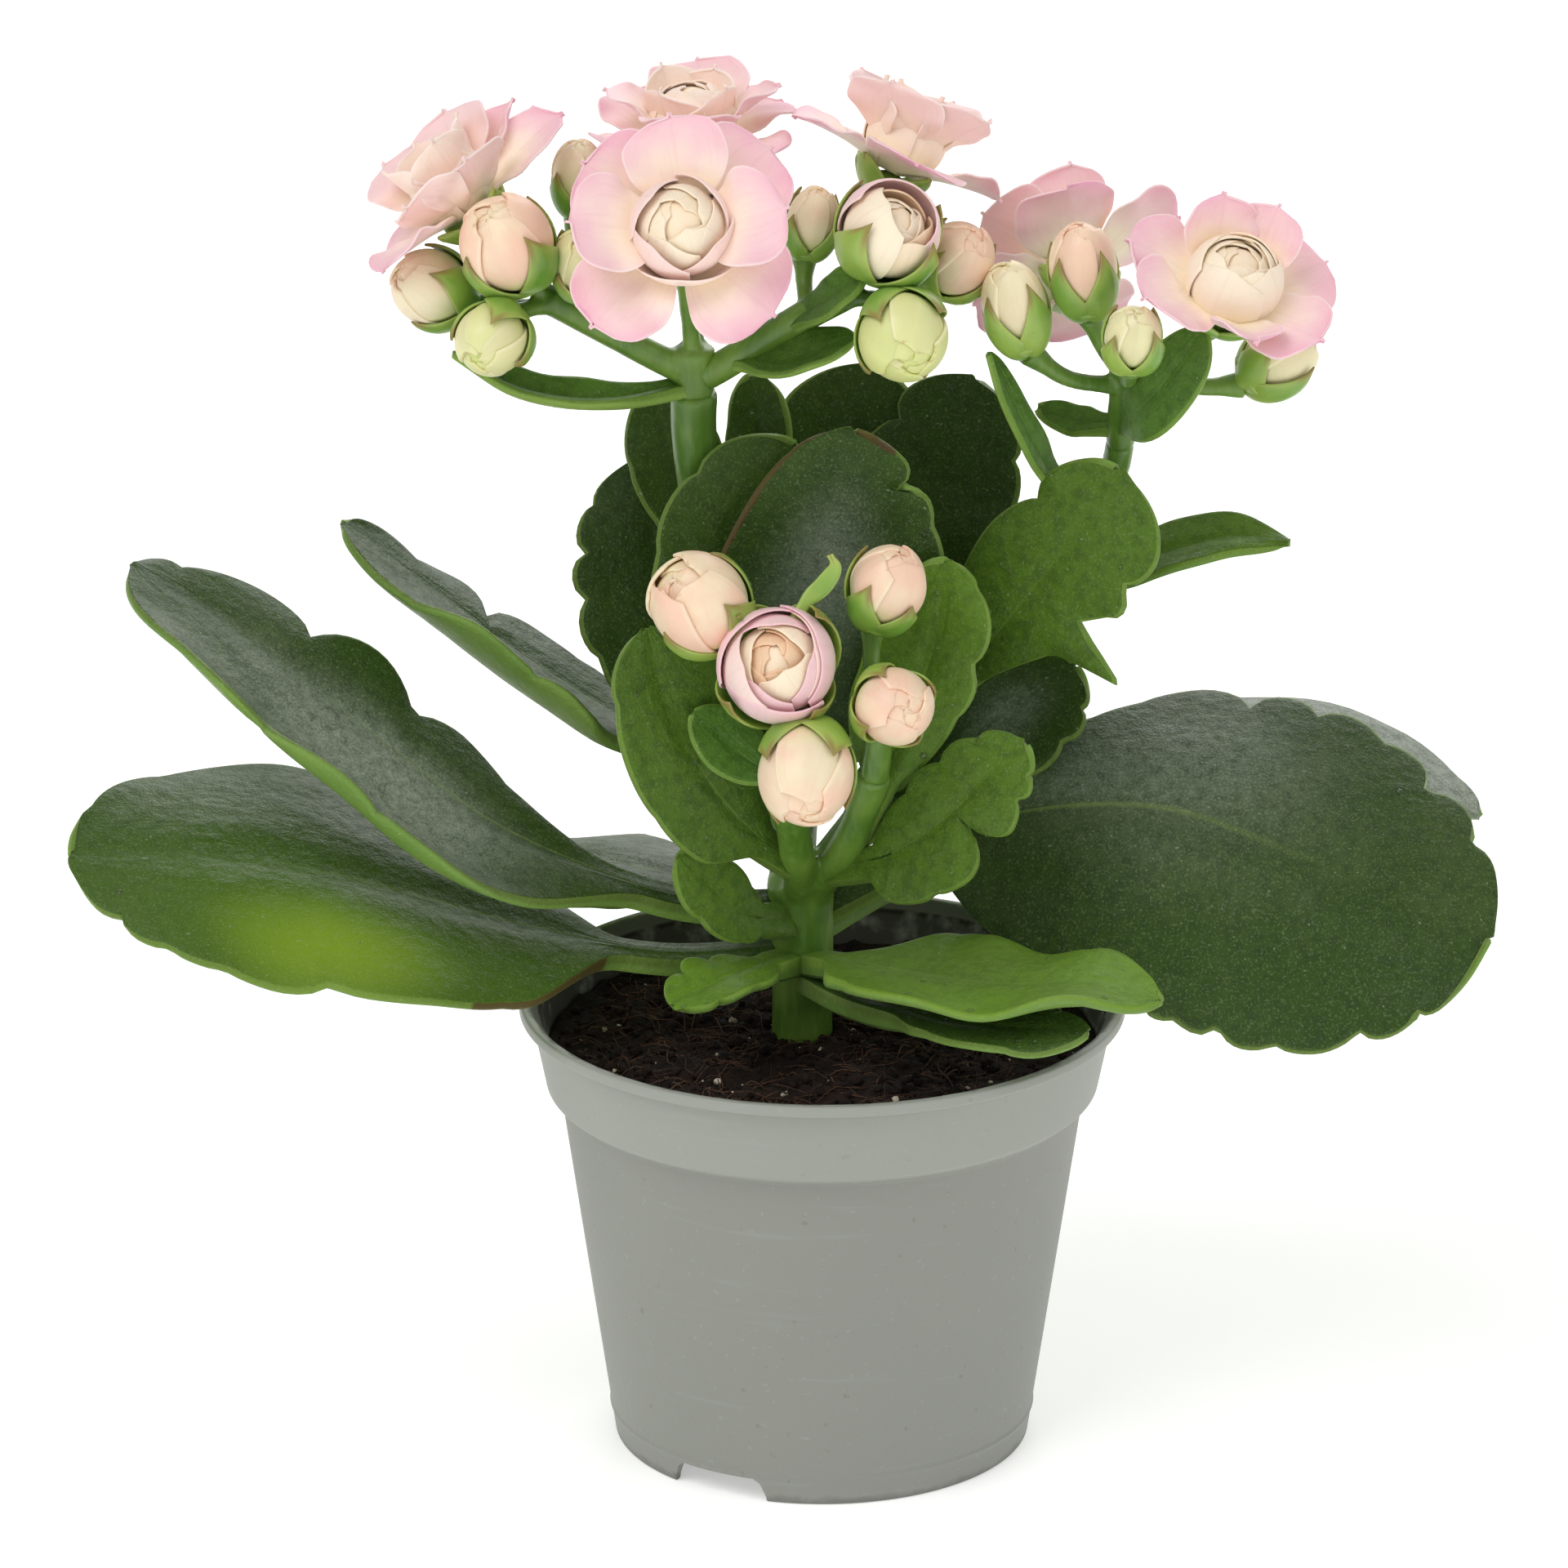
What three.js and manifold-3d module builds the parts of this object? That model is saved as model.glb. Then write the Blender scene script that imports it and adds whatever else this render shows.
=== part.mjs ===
// A kalanchoe in a small round nursery pot: pot, soil, stem, thick scalloped leaves, four green flower
// sprays, double flowers and buds. Millimetres, +Z up, -Y is the front. The origin is the middle of the
// flat disc under the pot.
import * as THREE from 'three';
import { mergeVertices } from 'three/addons/utils/BufferGeometryUtils.js';
import Module from 'manifold-3d';

const wasm = await Module();
wasm.setup();

// ---------------------------------------------------------------- driving dimensions

const GAP = 0.3; // left between pieces that meet

const POT = {
  lipRadius: 30,
  height: 45.8,
  lipHeight: 1.3,
  lipProud: 1.2,
  collarHeight: 9,
  collarFootRadius: 27.3,
  wallTopRadius: 25.9,
  footRadius: 20.6,
  wall: 0.85,
  skirt: 2.2, // the floor stands this far above the foot
  restRadius: 6, // flat disc in the middle of the floor, level with the foot
  ridgeHeight: 3,
  notchWidth: 10.3,
  notchTurns: [-30, 150], // degrees from the front, towards the right
  drainRadius: 2.2,
  drainRing: 13.5,
  drainCount: 4,
  sides: 32,
};

const SOIL = { level: 41.4, lump: 0.7, sides: 20, seed: 7 };

// Stem arms: radius and the points of the middle line.
const MAIN = {
  radius: 3.05, sides: 12, steps: 5,
  line: [[-2, 0, 31], [-2, 0, 42], [-2, -0.6, 52], [-2.2, -1, 58.5]],
};
const ARMS = [
  { radius: 2.2, sides: 8, steps: 7,
    line: [[-2.2, -1, 57], [-4.5, 2, 66], [-8, 4, 80], [-11, 3, 92], [-12.5, 0, 104], [-12.5, -1, 109]] },
  { radius: 1.4, sides: 6, steps: 7,
    line: [[-2, 0, 57], [6, 6, 66], [18, 9, 82], [26, 8, 91.5], [28.5, 6, 98.5], [29, 4.5, 102]] },
  { radius: 1.7, sides: 6, steps: 3, line: [[-2, -1, 56.5], [-2.5, -8, 63.5], [-3.5, -14, 72]] },
  { radius: 1.7, sides: 6, steps: 3, line: [[-1.5, -1, 56.5], [2.5, -8, 65], [5, -12, 73.5]] },
];

// Leaves.
// rib: points of the midrib from the stem to the tip.
// face: the way the upper side looks, at the root and at the tip.
// wide: half widths, left and right of the rib seen from above with the tip ahead.
// petiole: its share of the rib. belly: where along the blade it is widest.
// lobes, notch: scallops a side and how deep the notches between them are.
// turn: degrees by which the margins turn up. ease: how late they do, 0 a fold at the rib, 3 a curl.
const LEAVES = {
  leaf_lower_left: {
    rib: [[-2.2, -0.6, 51], [-16, -5, 52], [-29.5, -8, 56], [-46, -11, 62], [-60, -12, 65],
      [-73, -13, 65.5]],
    face: [[0, -0.25, 1], [0, -0.36, 0.93]], wide: [17, 17.5], petiole: 0.22, belly: 0.6,
    lobes: 3, notch: [0.07, 0.05], turn: [-8, -14], ease: [1, 1], thick: 2, fine: true,
  },
  leaf_upper_left: {
    rib: [[-2.2, -0.8, 56], [-12, -4, 57.2], [-19.5, -7, 60.3], [-32, -8, 66.6], [-44, -6, 75.4],
      [-57, -3, 85], [-67, 0, 91]],
    face: [[0.2, -0.4, 0.9], [0.5, -0.3, 0.8]], wide: [17, 9], petiole: 0.22, belly: 0.5,
    lobes: 4, notch: [0.08, 0.14], turn: [80, 15], ease: [2.4, 1], thick: 2.1, fine: true,
  },
  leaf_big_right: {
    rib: [[-2.2, -0.8, 54.5], [6, 1, 58.5], [13, 1, 62.5], [22.5, 0, 65.5], [34, -3, 66.5],
      [45, -6, 63.5], [55, -9, 60], [65, -12, 56.5]],
    face: [[0, -0.5, 0.86], [0.1, -0.6, 0.8]], wide: [20, 20.5], petiole: 0.2, belly: [0.62, 0.5],
    blunt: [0.5, 0.36], foot: [0.25, 0], lobes: 5, notch: [0.08, 0.07], turn: [-16, -52], ease: [0.8, 0.6],
    thick: 2.2, fine: true,
  },
  leaf_mid_left: {
    rib: [[-4.5, 2, 66], [-15, 4, 70.3], [-21.5, 6, 73.2], [-33.5, 8, 81], [-43, 9, 88.6], [-47, 9, 92]],
    face: [[0.4, -0.1, 0.9], [0.56, -0.1, 0.82]], wide: [12.5, 6.5], petiole: 0.2, belly: 0.45,
    lobes: 3, notch: [0.1, 0.2], turn: [75, 20], ease: [2, 1], thick: 1.9,
  },
  leaf_far_right: {
    rib: [[-2.2, -0.8, 54], [7, 10, 56.5], [24, 26, 60.5], [40, 33, 62.2], [55, 34, 60], [66.5, 30, 53.8]],
    face: [[0, 0, 1], [0.3, -0.1, 0.95]], wide: [8, 9], petiole: 0.2, belly: 0.6,
    lobes: 3, notch: [0.08, 0.08], turn: [-10, 10], ease: [1, 1], thick: 1.9,
  },
  leaf_front_right: {
    rib: [[-2, -0.7, 50], [2, -9, 52.5], [8, -16, 54], [17, -20.5, 54.5], [26, -23, 55.5],
      [32.5, -24, 54.5]],
    face: [[0, -0.1, 1], [0.1, -0.05, 1]], wide: [10, 9], petiole: 0.15, belly: 0.5,
    lobes: 3, notch: [0.1, 0.14], turn: [10, 40], ease: [1, 2], thick: 1.9,
  },
  leaf_front_left: {
    rib: [[-2, -0.7, 50], [-5, -6, 51.2], [-9, -10.5, 51.7], [-14.5, -15, 50.5]],
    face: [[0, -0.2, 1], [-0.2, -0.3, 0.9]], wide: [4.5, 4.5], petiole: 0.3, belly: 0.6,
    lobes: 2, notch: [0.3, 0.3], turn: [20, 20], ease: [1, 1], thick: 1.6,
  },
  leaf_front_low: {
    rib: [[-2, -0.7, 48.3], [3, -10, 49], [10, -19, 50.5], [18.5, -24.5, 51.5], [25.5, -26.5, 52.3]],
    face: [[0, -0.1, 1], [0.2, -0.4, 0.9]], wide: [4, 4], petiole: 0.4, belly: 0.6,
    lobes: 2, notch: [0.2, 0.2], turn: [10, 10], ease: [1, 1], thick: 1.6,
  },
  leaf_dark_right: {
    rib: [[2, 3, 61.2], [8, 5, 64.5], [17, 8, 71], [25, 11, 76.5]],
    face: [[-0.3, -0.6, 0.7], [-0.4, -0.75, 0.5]], wide: [7.5, 7.5], petiole: 0.25, belly: 0.6,
    lobes: 3, notch: [0.14, 0.14], turn: [12, 12], ease: [1, 1], thick: 1.8,
  },
  leaf_back_left: {
    rib: [[-5.5, 2.7, 69.5], [-11.5, 6, 76], [-15, 8, 84], [-16.5, 10, 91.5], [-17, 11, 98]],
    face: [[0.2, -0.8, 0.5], [0, -0.9, 0.4]], wide: [9.5, 9], petiole: 0.15, belly: 0.5,
    lobes: 4, notch: [0.12, 0.1], turn: [12, 12], ease: [1, 1], thick: 1.8,
  },
  leaf_stem_left: {
    rib: [[-10.3, 3.4, 88], [-13, 8, 95], [-15, 10, 100], [-16.5, 11, 105.5]],
    face: [[0.2, -0.9, 0.3], [0.1, -0.9, 0.4]], wide: [5, 5], petiole: 0.12, belly: 0.55,
    lobes: 2, notch: [0.08, 0.08], turn: [20, 20], ease: [1, 1], thick: 1.6,
  },
  leaf_stem_right: {
    rib: [[-10.3, 3.4, 88], [-7, 6.2, 95], [-6, 7, 102], [-7, 8, 107.5]],
    face: [[-0.3, -0.9, 0.3], [-0.4, -0.8, 0.4]], wide: [4, 4], petiole: 0.12, belly: 0.55,
    lobes: 2, notch: [0.06, 0.06], turn: [30, 30], ease: [1, 1], thick: 1.6,
  },
  leaf_centre_back: {
    rib: [[-7, 3.7, 76], [-3, 9, 84], [0, 12, 92], [3, 14, 99], [5.5, 15, 106]],
    face: [[-0.1, -0.8, 0.5], [0, -0.9, 0.4]], wide: [9, 8.5], petiole: 0.15, belly: 0.6,
    lobes: 3, notch: [0.1, 0.1], turn: [12, 12], ease: [1, 1], thick: 1.8,
  },
  leaf_right_back: {
    rib: [[-5, 2.4, 68], [0, 5, 74], [5, 7, 83], [10, 8.5, 93], [13, 9.5, 101], [15, 10, 106.5]],
    face: [[-0.2, -0.8, 0.5], [-0.3, -0.85, 0.4]], wide: [8.5, 8.5], petiole: 0.15, belly: 0.72,
    lobes: 3, notch: [0.13, 0.12], turn: [12, 12], ease: [1, 1], thick: 1.8,
  },
  leaf_right_low: {
    rib: [[8.5, 6.8, 69.5], [10.5, 7, 77], [14.5, 6.5, 85.5], [18.5, 7, 92.5]],
    face: [[-0.4, -0.8, 0.4], [-0.5, -0.8, 0.3]], wide: [6, 6], petiole: 0.15, belly: 0.6,
    lobes: 2, notch: [0.12, 0.12], turn: [12, 12], ease: [1, 1], thick: 1.7,
  },
  leaf_centre_left: {
    rib: [[-6.7, 3.2, 75], [-8, -1.5, 82.5], [-9.5, -3, 90.5], [-7.5, -3.5, 97.8], [-2.5, -3.5, 104.2]],
    face: [[0.1, -0.9, 0.4], [0.1, -0.9, 0.4]], wide: [7.5, 8], petiole: 0.15, belly: 0.55,
    lobes: 3, notch: [0.12, 0.08], turn: [16, 16], ease: [1, 1], thick: 1.8,
  },
  leaf_front_centre: {
    rib: [[-5, 2.4, 68.5], [-3, -4, 75.6], [-1, -6.5, 86], [1, -8.5, 97.4], [3, -9, 107.4]],
    face: [[0.1, -0.85, 0.5], [0.1, -0.92, 0.35]], wide: [11, 12], petiole: 0.12, belly: 0.5,
    lobes: 3, notch: [0.03, 0.15], turn: [10, 10], ease: [1, 1], thick: 2,
  },
  leaf_upright_right: {
    rib: [[6, 6, 66], [11.5, 0, 76], [18, -3, 86], [24, -4, 94.5], [28.5, -4, 102]],
    face: [[-0.3, -0.85, 0.4], [-0.3, -0.9, 0.3]], wide: [7.5, 9], petiole: 0.22, belly: [0.68, 0.72],
    lobes: 3, notch: [0.12, 0.36], turn: [10, 10], ease: [1, 1], thick: 2,
  },
  leaf_narrow_right: {
    rib: [[20, 9, 84.5], [26, 8, 86.5], [33, 6, 89.5], [39.5, 4, 92], [45.5, 2, 92.5]],
    face: [[-0.2, -0.35, 0.9], [0, -0.35, 0.93]], wide: [4.2, 4.2], petiole: 0.15, belly: 0.5,
    blunt: 0.9, lobes: 0, notch: [0, 0], turn: [25, 25], ease: [1, 1], thick: 1.6,
  },
  leaf_shoot_left: {
    rib: [[-2.4, -6.5, 62], [-7, -9.5, 66.5], [-12, -12, 74], [-15.5, -12.5, 82], [-17, -12.5, 88.5]],
    face: [[0.3, -0.85, 0.4], [0.25, -0.9, 0.35]], wide: [7, 7.5], petiole: 0.12, belly: 0.5,
    lobes: 2, notch: [0.12, 0.08], turn: [14, 14], ease: [1, 1], thick: 1.9,
  },
  leaf_shoot_small: {
    rib: [[-2.2, -1.2, 54], [-8, -9, 58], [-14, -13.5, 65.5]],
    face: [[0.2, -0.85, 0.5], [0.2, -0.85, 0.5]], wide: [3.8, 3.8], petiole: 0.25, belly: 0.6,
    lobes: 2, notch: [0.2, 0.2], turn: [14, 14], ease: [1, 1], thick: 1.7,
  },
  leaf_shoot_tall: {
    rib: [[2.5, -8, 65], [5.2, -9.5, 71], [8, -9.8, 78], [11, -10.5, 87], [12, -11, 95]],
    face: [[-0.1, -0.85, 0.5], [-0.2, -0.9, 0.35]], wide: [6.5, 5.5], petiole: 0.15, belly: 0.6,
    lobes: 3, notch: [0.06, 0.16], turn: [14, 14], ease: [1, 1], thick: 1.9,
  },
  leaf_shoot_right: {
    rib: [[0.6, -4.8, 61], [6, -10, 64], [11.5, -13.5, 69], [15.5, -14.5, 73.5], [19.5, -14.5, 77.5]],
    face: [[-0.2, -0.85, 0.5], [-0.3, -0.85, 0.4]], wide: [5.5, 6.5], petiole: 0.2, belly: 0.6,
    lobes: 3, notch: [0.16, 0.45], turn: [14, 14], ease: [1, 1], thick: 1.9,
  },
  leaf_behind_left: {
    rib: [[-2.2, 0, 53], [-12, 12, 52.5], [-24, 24, 51], [-36, 34, 47.5]],
    face: [[0, 0, 1], [-0.2, 0.2, 0.95]], wide: [12, 12], petiole: 0.25, belly: 0.6,
    lobes: 3, notch: [0.08, 0.08], turn: [-10, -10], ease: [1, 1], thick: 1.9,
  },
  leaf_behind: {
    rib: [[-2.6, 0, 60], [-2, 14, 64], [-1, 30, 66], [0, 48, 61]],
    face: [[0, -0.2, 1], [0, 0.2, 1]], wide: [13, 13], petiole: 0.22, belly: 0.6,
    lobes: 3, notch: [0.08, 0.08], turn: [12, 12], ease: [1, 1], thick: 1.9,
  },
  leaf_behind_right: {
    rib: [[-2, 0, 52.5], [8, 13, 53.5], [20, 25, 52.5], [32, 36, 48.5]],
    face: [[0, 0, 1], [0.2, 0.2, 0.95]], wide: [12, 12], petiole: 0.25, belly: 0.6,
    lobes: 3, notch: [0.08, 0.08], turn: [-10, -10], ease: [1, 1], thick: 1.9,
  },
};

// Bracts: small leaves without scallops that grow from the flower stems.
const BRACTS = {
  left: {
    rib: [[-12.5, -1, 109.5], [-21, -5, 109.3], [-29, -7, 111], [-35.5, -8, 115]],
    face: [[0, -0.3, 1], [0.3, -0.3, 0.9]], wide: [2.6, 2.6], turn: [60, 60],
  },
  middle: {
    rib: [[-8.6, -2.3, 112.6], [-3, -6, 113.5], [3, -7.5, 116.5]],
    face: [[-0.2, -0.4, 0.9], [-0.3, -0.4, 0.8]], wide: [3, 3], turn: [40, 40],
  },
  middle_upper: {
    rib: [[-3, -3.8, 116.8], [1, -7.5, 120.5], [4, -9, 123.5]],
    face: [[-0.4, -0.6, 0.7], [-0.4, -0.6, 0.7]], wide: [2.4, 2.4], turn: [30, 30],
  },
  stem_long: {
    rib: [[27, 7, 94], [22.5, 1, 99], [19.5, -3, 105.5], [16, -5, 114]],
    face: [[0.6, -0.5, 0.6], [0.7, -0.5, 0.3]], wide: [2, 2], turn: [30, 30],
  },
  right_round: {
    rib: [[29, 3.8, 104], [31, -4, 108.5], [34, -6.5, 113], [36.5, -7, 117]],
    face: [[-0.3, -0.9, 0.4], [-0.4, -0.9, 0.3]], wide: [3.4, 3.8], turn: [20, 20],
  },
  right_dark: {
    rib: [[29, 4, 103.8], [25, 6, 103.4], [21, 7, 104.6]],
    face: [[0, -0.5, 0.86], [0, -0.5, 0.86]], wide: [2, 2], turn: [20, 20],
  },
  front: {
    rib: [[-3.6, -14.9, 73.8], [-7.5, -13.8, 75.8], [-12.5, -14, 80.5]],
    face: [[0.3, -0.9, 0.4], [0.3, -0.9, 0.4]], wide: [3.2, 3.2], turn: [20, 20],
  },
};

// Whorls of petals: count, length, half width, where the foot stands (out and up), and the rise in degrees
// at the foot and at the tip.
const OUTER = { count: 4, length: 10.2, wide: 5.4, start: [1.4, 1.1], rise: [18, -4] };
const SECOND = { count: 4, length: 9.2, wide: 4.8, start: [1.5, 2.6], rise: [44, 12] };
const HOOD = { count: 4, length: 7.4, wide: 3.4, start: [1.7, 1.7], rise: [16, 106] };
const CUP = { count: 4, length: 6.2, wide: 2.6, start: [1.9, 2.9], rise: [26, 104] };
const WALL = { count: 5, length: 8.4, wide: 3.6, start: [1.8, 1.2], rise: [6, 106] };

// Open flowers: the middle of the foot, the way the flower looks, its spin, its whorls, the radius of the
// heart, and the branch its stalk leaves and how far along.
const FLOWERS = {
  flower_left: { spray: 'left', at: [-33.4, -2.4, 127], axis: [-0.62, 0.12, 0.76], spin: 10,
    whorls: [OUTER, SECOND], heart: 2.9, from: [1, 0.95] },
  flower_front: { spray: 'left', at: [-13.6, -10.5, 127], axis: [0, -0.82, 0.57], spin: 45,
    whorls: [OUTER, SECOND, CUP], heart: 3.3, from: [0, 0.8] },
  flower_back: { spray: 'left', at: [-12.5, 7, 129.5], axis: [-0.03, -0.05, 1], spin: 40,
    whorls: [OUTER, SECOND], heart: 3.1, from: [0, 0.7] },
  flower_middle: { spray: 'middle', at: [6.4, 5, 128.6], axis: [0.36, 0.22, 0.88], spin: 12,
    whorls: [OUTER, SECOND], heart: 2.9, from: [0, 0.95] },
  flower_half_open: { spray: 'middle', at: [5, -6.4, 124.4], axis: [0.4, -0.45, 0.8], spin: 0,
    whorls: [HOOD], heart: 3.5, from: [0, 0.97] },
  flower_right: { spray: 'right', at: [38.4, -4.4, 118.2], axis: [0.26, -0.4, 0.88], spin: 25,
    whorls: [OUTER, SECOND, CUP], heart: 3.1, from: [0, 0.97] },
  flower_right_back: { spray: 'right', at: [25.5, 10.5, 116.4], axis: [-0.42, 0.8, 0.4], spin: 0,
    whorls: [OUTER, CUP], heart: 2.9, from: [0, 0.55] },
  flower_rose: { spray: 'front', at: [-4.2, -18.4, 86.2], axis: [-0.05, -0.86, 0.5], spin: 30,
    whorls: [WALL, CUP], heart: 3.3, from: [0, 0.9] },
};

// Buds: middle, radius, height over width, the way the tip looks, and the branch its stalk leaves and how far
// along.
const BUDS = {
  bud_left_1: { spray: 'left', at: [-30.3, -8, 126], radius: 4.5,
    tall: 1.1, axis: [-0.35, -0.5, 0.8], from: [1, 0.97] },
  bud_left_2: { spray: 'left', at: [-37.8, -4.5, 120.5], radius: 3.6,
    tall: 1.1, axis: [-0.8, -0.35, 0.45], from: [1, 0.92] },
  bud_left_3: { spray: 'left', at: [-31.8, -11, 117.3], radius: 3.4,
    tall: 1.05, axis: [-0.4, -0.85, -0.3], from: [1, 0.9] },
  bud_left_4: { spray: 'left', at: [-23.6, 3.5, 129.5], radius: 2.5,
    tall: 1.4, axis: [0.05, -0.1, 1], from: [1, 0.85] },
  bud_left_5: { spray: 'left', at: [-23, -6.5, 123.7], radius: 3,
    tall: 1.3, axis: [-0.1, -0.6, 0.8], from: [1, 0.75] },
  bud_middle_1: { spray: 'middle', at: [-1, 0, 126], radius: 2.4,
    tall: 1.4, axis: [0.2, -0.2, 1], from: [0, 0.75] },
  bud_middle_2: { spray: 'middle', at: [13, -1, 122.3], radius: 3.5,
    tall: 1.1, axis: [0.45, -0.5, 0.75], from: [0, 0.97] },
  bud_middle_3: { spray: 'middle', at: [7.6, -12.5, 118], radius: 4.2,
    tall: 1.05, axis: [0.1, -0.9, -0.3], from: [0, 0.93] },
  bud_right_1: { spray: 'right', at: [18.4, -3.5, 118.5], radius: 3.1,
    tall: 1.45, axis: [-0.25, -0.15, 0.95], from: [0, 0.6] },
  bud_right_2: { spray: 'right', at: [25, -2.5, 122], radius: 3.2,
    tall: 1.45, axis: [-0.12, -0.2, 0.97], from: [0, 0.7] },
  bud_right_3: { spray: 'right', at: [29.6, -11, 117.6], radius: 2.7,
    tall: 1.2, axis: [0.05, -0.45, 0.9], from: [0, 0.75] },
  bud_right_4: { spray: 'right', at: [44.3, 1.5, 111.5], radius: 3.2,
    tall: 1.2, axis: [0.75, -0.1, 0.65], from: [0, 0.9] },
  bud_front_1: { spray: 'front', at: [-11.8, -18, 93], radius: 4.6,
    tall: 1.1, axis: [-0.5, -0.5, 0.7], from: [0, 0.8] },
  bud_front_2: { spray: 'front_right', at: [6.2, -17, 94.5], radius: 3.6,
    tall: 1.2, axis: [0.3, -0.35, 0.9], from: [0, 0.9] },
  bud_front_3: { spray: 'front_right', at: [6.8, -23.5, 84.5], radius: 3.7,
    tall: 1.05, axis: [0.3, -0.9, 0.25], from: [0, 0.6] },
  bud_front_4: { spray: 'front', at: [-1.7, -25.5, 78.3], radius: 4.6,
    tall: 1.15, axis: [-0.05, -0.85, -0.5], from: [0, 0.5] },
};

// Branches of the five sprays.
const BRANCHES = {
  left: [
    { radius: 1.9, steps: 2, line: [[-12.5, -1, 109.6], [-12.5, -1.5, 113.5]] },
    { radius: 1.4, steps: 4, line: [[-12.5, -1, 110.5], [-18, -3, 114], [-26.5, -4, 119.3]] },
  ],
  middle: [
    { radius: 1.5, steps: 4, line: [[-9.4, -2, 112], [-4, -3.5, 116], [2, -5, 120]] },
  ],
  right: [
    { radius: 1.35, steps: 4, line: [[29, 4.3, 102.6], [29, 3, 106], [29.5, 1.5, 110], [31.5, 0, 111.5]] },
  ],
  front: [
    { radius: 1.5, steps: 3, line: [[-3.55, -14.3, 72.6], [-3.8, -16, 76], [-3.6, -17, 79.5]] },
  ],
  front_right: [
    { radius: 1.4, steps: 3, line: [[5.1, -12.2, 74.1], [5.4, -13.5, 77.5], [5.6, -14.5, 81.5]] },
  ],
};

const STALK_RADIUS = 0.85;
// The calyx under an open flower; point: its tips over its radius.
const STAR = { radius: 1.9, depth: 2, point: 1.9 };
const SEPAL_THICK = 0.8;

const COLOURS = {
  pot: [0x989e98, 0.62],
  soil: [0x2a1a14, 0.95],
  stem: [0x4f7a2a, 0.45],
  leaf: [0x35552c, 0.42],
  leafBright: [0x4c7c28, 0.42],
  petal: [0xf3c3cd, 0.55],
  bud: [0xf3dcae, 0.55],
};
const LEAF_FOOT = 0.25; // the blade narrows into its stalk over this share of its length
const BRIGHT_LEAVES = [
  'leaf_lower_left', 'leaf_upright_right', 'leaf_shoot_right', 'leaf_shoot_tall', 'leaf_shoot_small',
  'leaf_narrow_right', 'leaf_front_right', 'leaf_front_left', 'leaf_shoot_left',
];

// ---------------------------------------------------------------- solids

const vector = (list) => new THREE.Vector3(...list);
const radians = THREE.MathUtils.degToRad;
const bySide = (value) => [value, value].flat().slice(0, 2); // one value for both sides, or a pair

function solidFromArrays(positions, indices) {
  const mesh = new wasm.Mesh({
    numProp: 3,
    vertProperties: Float32Array.from(positions),
    triVerts: Uint32Array.from(indices),
  });
  return new wasm.Manifold(mesh);
}

function solidFromGeometry(geometry) {
  const bare = geometry.clone();
  bare.deleteAttribute('normal');
  bare.deleteAttribute('uv');
  const merged = mergeVertices(bare, 1e-4);
  return solidFromArrays(merged.attributes.position.array, merged.index.array);
}

function geometryFromSolid(solid) {
  const { vertProperties, triVerts } = solid.getMesh();
  const geometry = new THREE.BufferGeometry();
  geometry.setAttribute('position', new THREE.BufferAttribute(vertProperties, 3));
  geometry.setIndex(new THREE.BufferAttribute(triVerts, 1));
  geometry.computeVertexNormals();
  return geometry;
}

const union = (solids) => wasm.Manifold.union(solids);

function largestBody(solid) {
  const bodies = solid.decompose();
  return bodies.reduce((best, body) => (body.volume() > best.volume() ? body : best));
}

function tube({ radius, sides = 8, steps, line }, grow = 0) {
  const circle = new THREE.Shape();
  for (let side = 0; side < sides; side += 1) {
    const angle = (side / sides) * 2 * Math.PI;
    const point = [(radius + grow) * Math.cos(angle), (radius + grow) * Math.sin(angle)];
    if (side === 0) circle.moveTo(...point);
    else circle.lineTo(...point);
  }
  circle.closePath();
  const path = new THREE.CatmullRomCurve3(line.map(vector));
  const geometry = new THREE.ExtrudeGeometry(circle, { steps, bevelEnabled: false, extrudePath: path });
  return solidFromGeometry(geometry);
}

// A closed skin over rings of points. Each ring runs along the upper face from left to right and back along
// the lower one, and both faces are split along the same diagonals.
function bladeSolid(rings, columns) {
  const around = 2 * columns;
  const positions = rings.flat().flatMap((point) => point.toArray());
  const indices = [];
  const at = (ring, place) => ring * around + (place % around);
  const lastRing = rings.length - 1;
  for (let ring = 0; ring < lastRing; ring += 1) {
    for (let place = 0; place < around; place += 1) {
      const [a, b] = [at(ring, place), at(ring, place + 1)];
      const [c, d] = [at(ring + 1, place + 1), at(ring + 1, place)];
      if (place < columns) indices.push(a, b, c, a, c, d);
      else indices.push(a, b, d, b, c, d);
    }
  }
  for (let column = 0; column < columns - 1; column += 1) {
    const [top, nextTop] = [column, column + 1];
    const [bottom, nextBottom] = [around - 1 - column, around - 2 - column];
    indices.push(at(0, top), at(0, bottom), at(0, nextTop));
    indices.push(at(0, bottom), at(0, nextBottom), at(0, nextTop));
    const end = lastRing * around;
    indices.push(end + top, end + nextTop, end + bottom, end + bottom, end + nextTop, end + nextBottom);
  }
  return solidFromArrays(positions, indices);
}

// Half width of a blade as a share of its greatest, for q from 0 at its foot to 1 at its tip.
function bladeShare(q, belly, blunt, foot) {
  const rise = (blunt * belly) / (1 - belly);
  const peak = belly ** rise * (1 - belly) ** blunt;
  const taper = foot > 0 ? THREE.MathUtils.lerp(0.3, 1, THREE.MathUtils.smoothstep(q, 0, foot)) : 1;
  return (taper * q ** rise * (1 - q) ** blunt) / peak;
}

const SCALLOP_START = 0.3; // scallops begin this far up the blade
const BEND_STEPS = 6;

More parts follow.
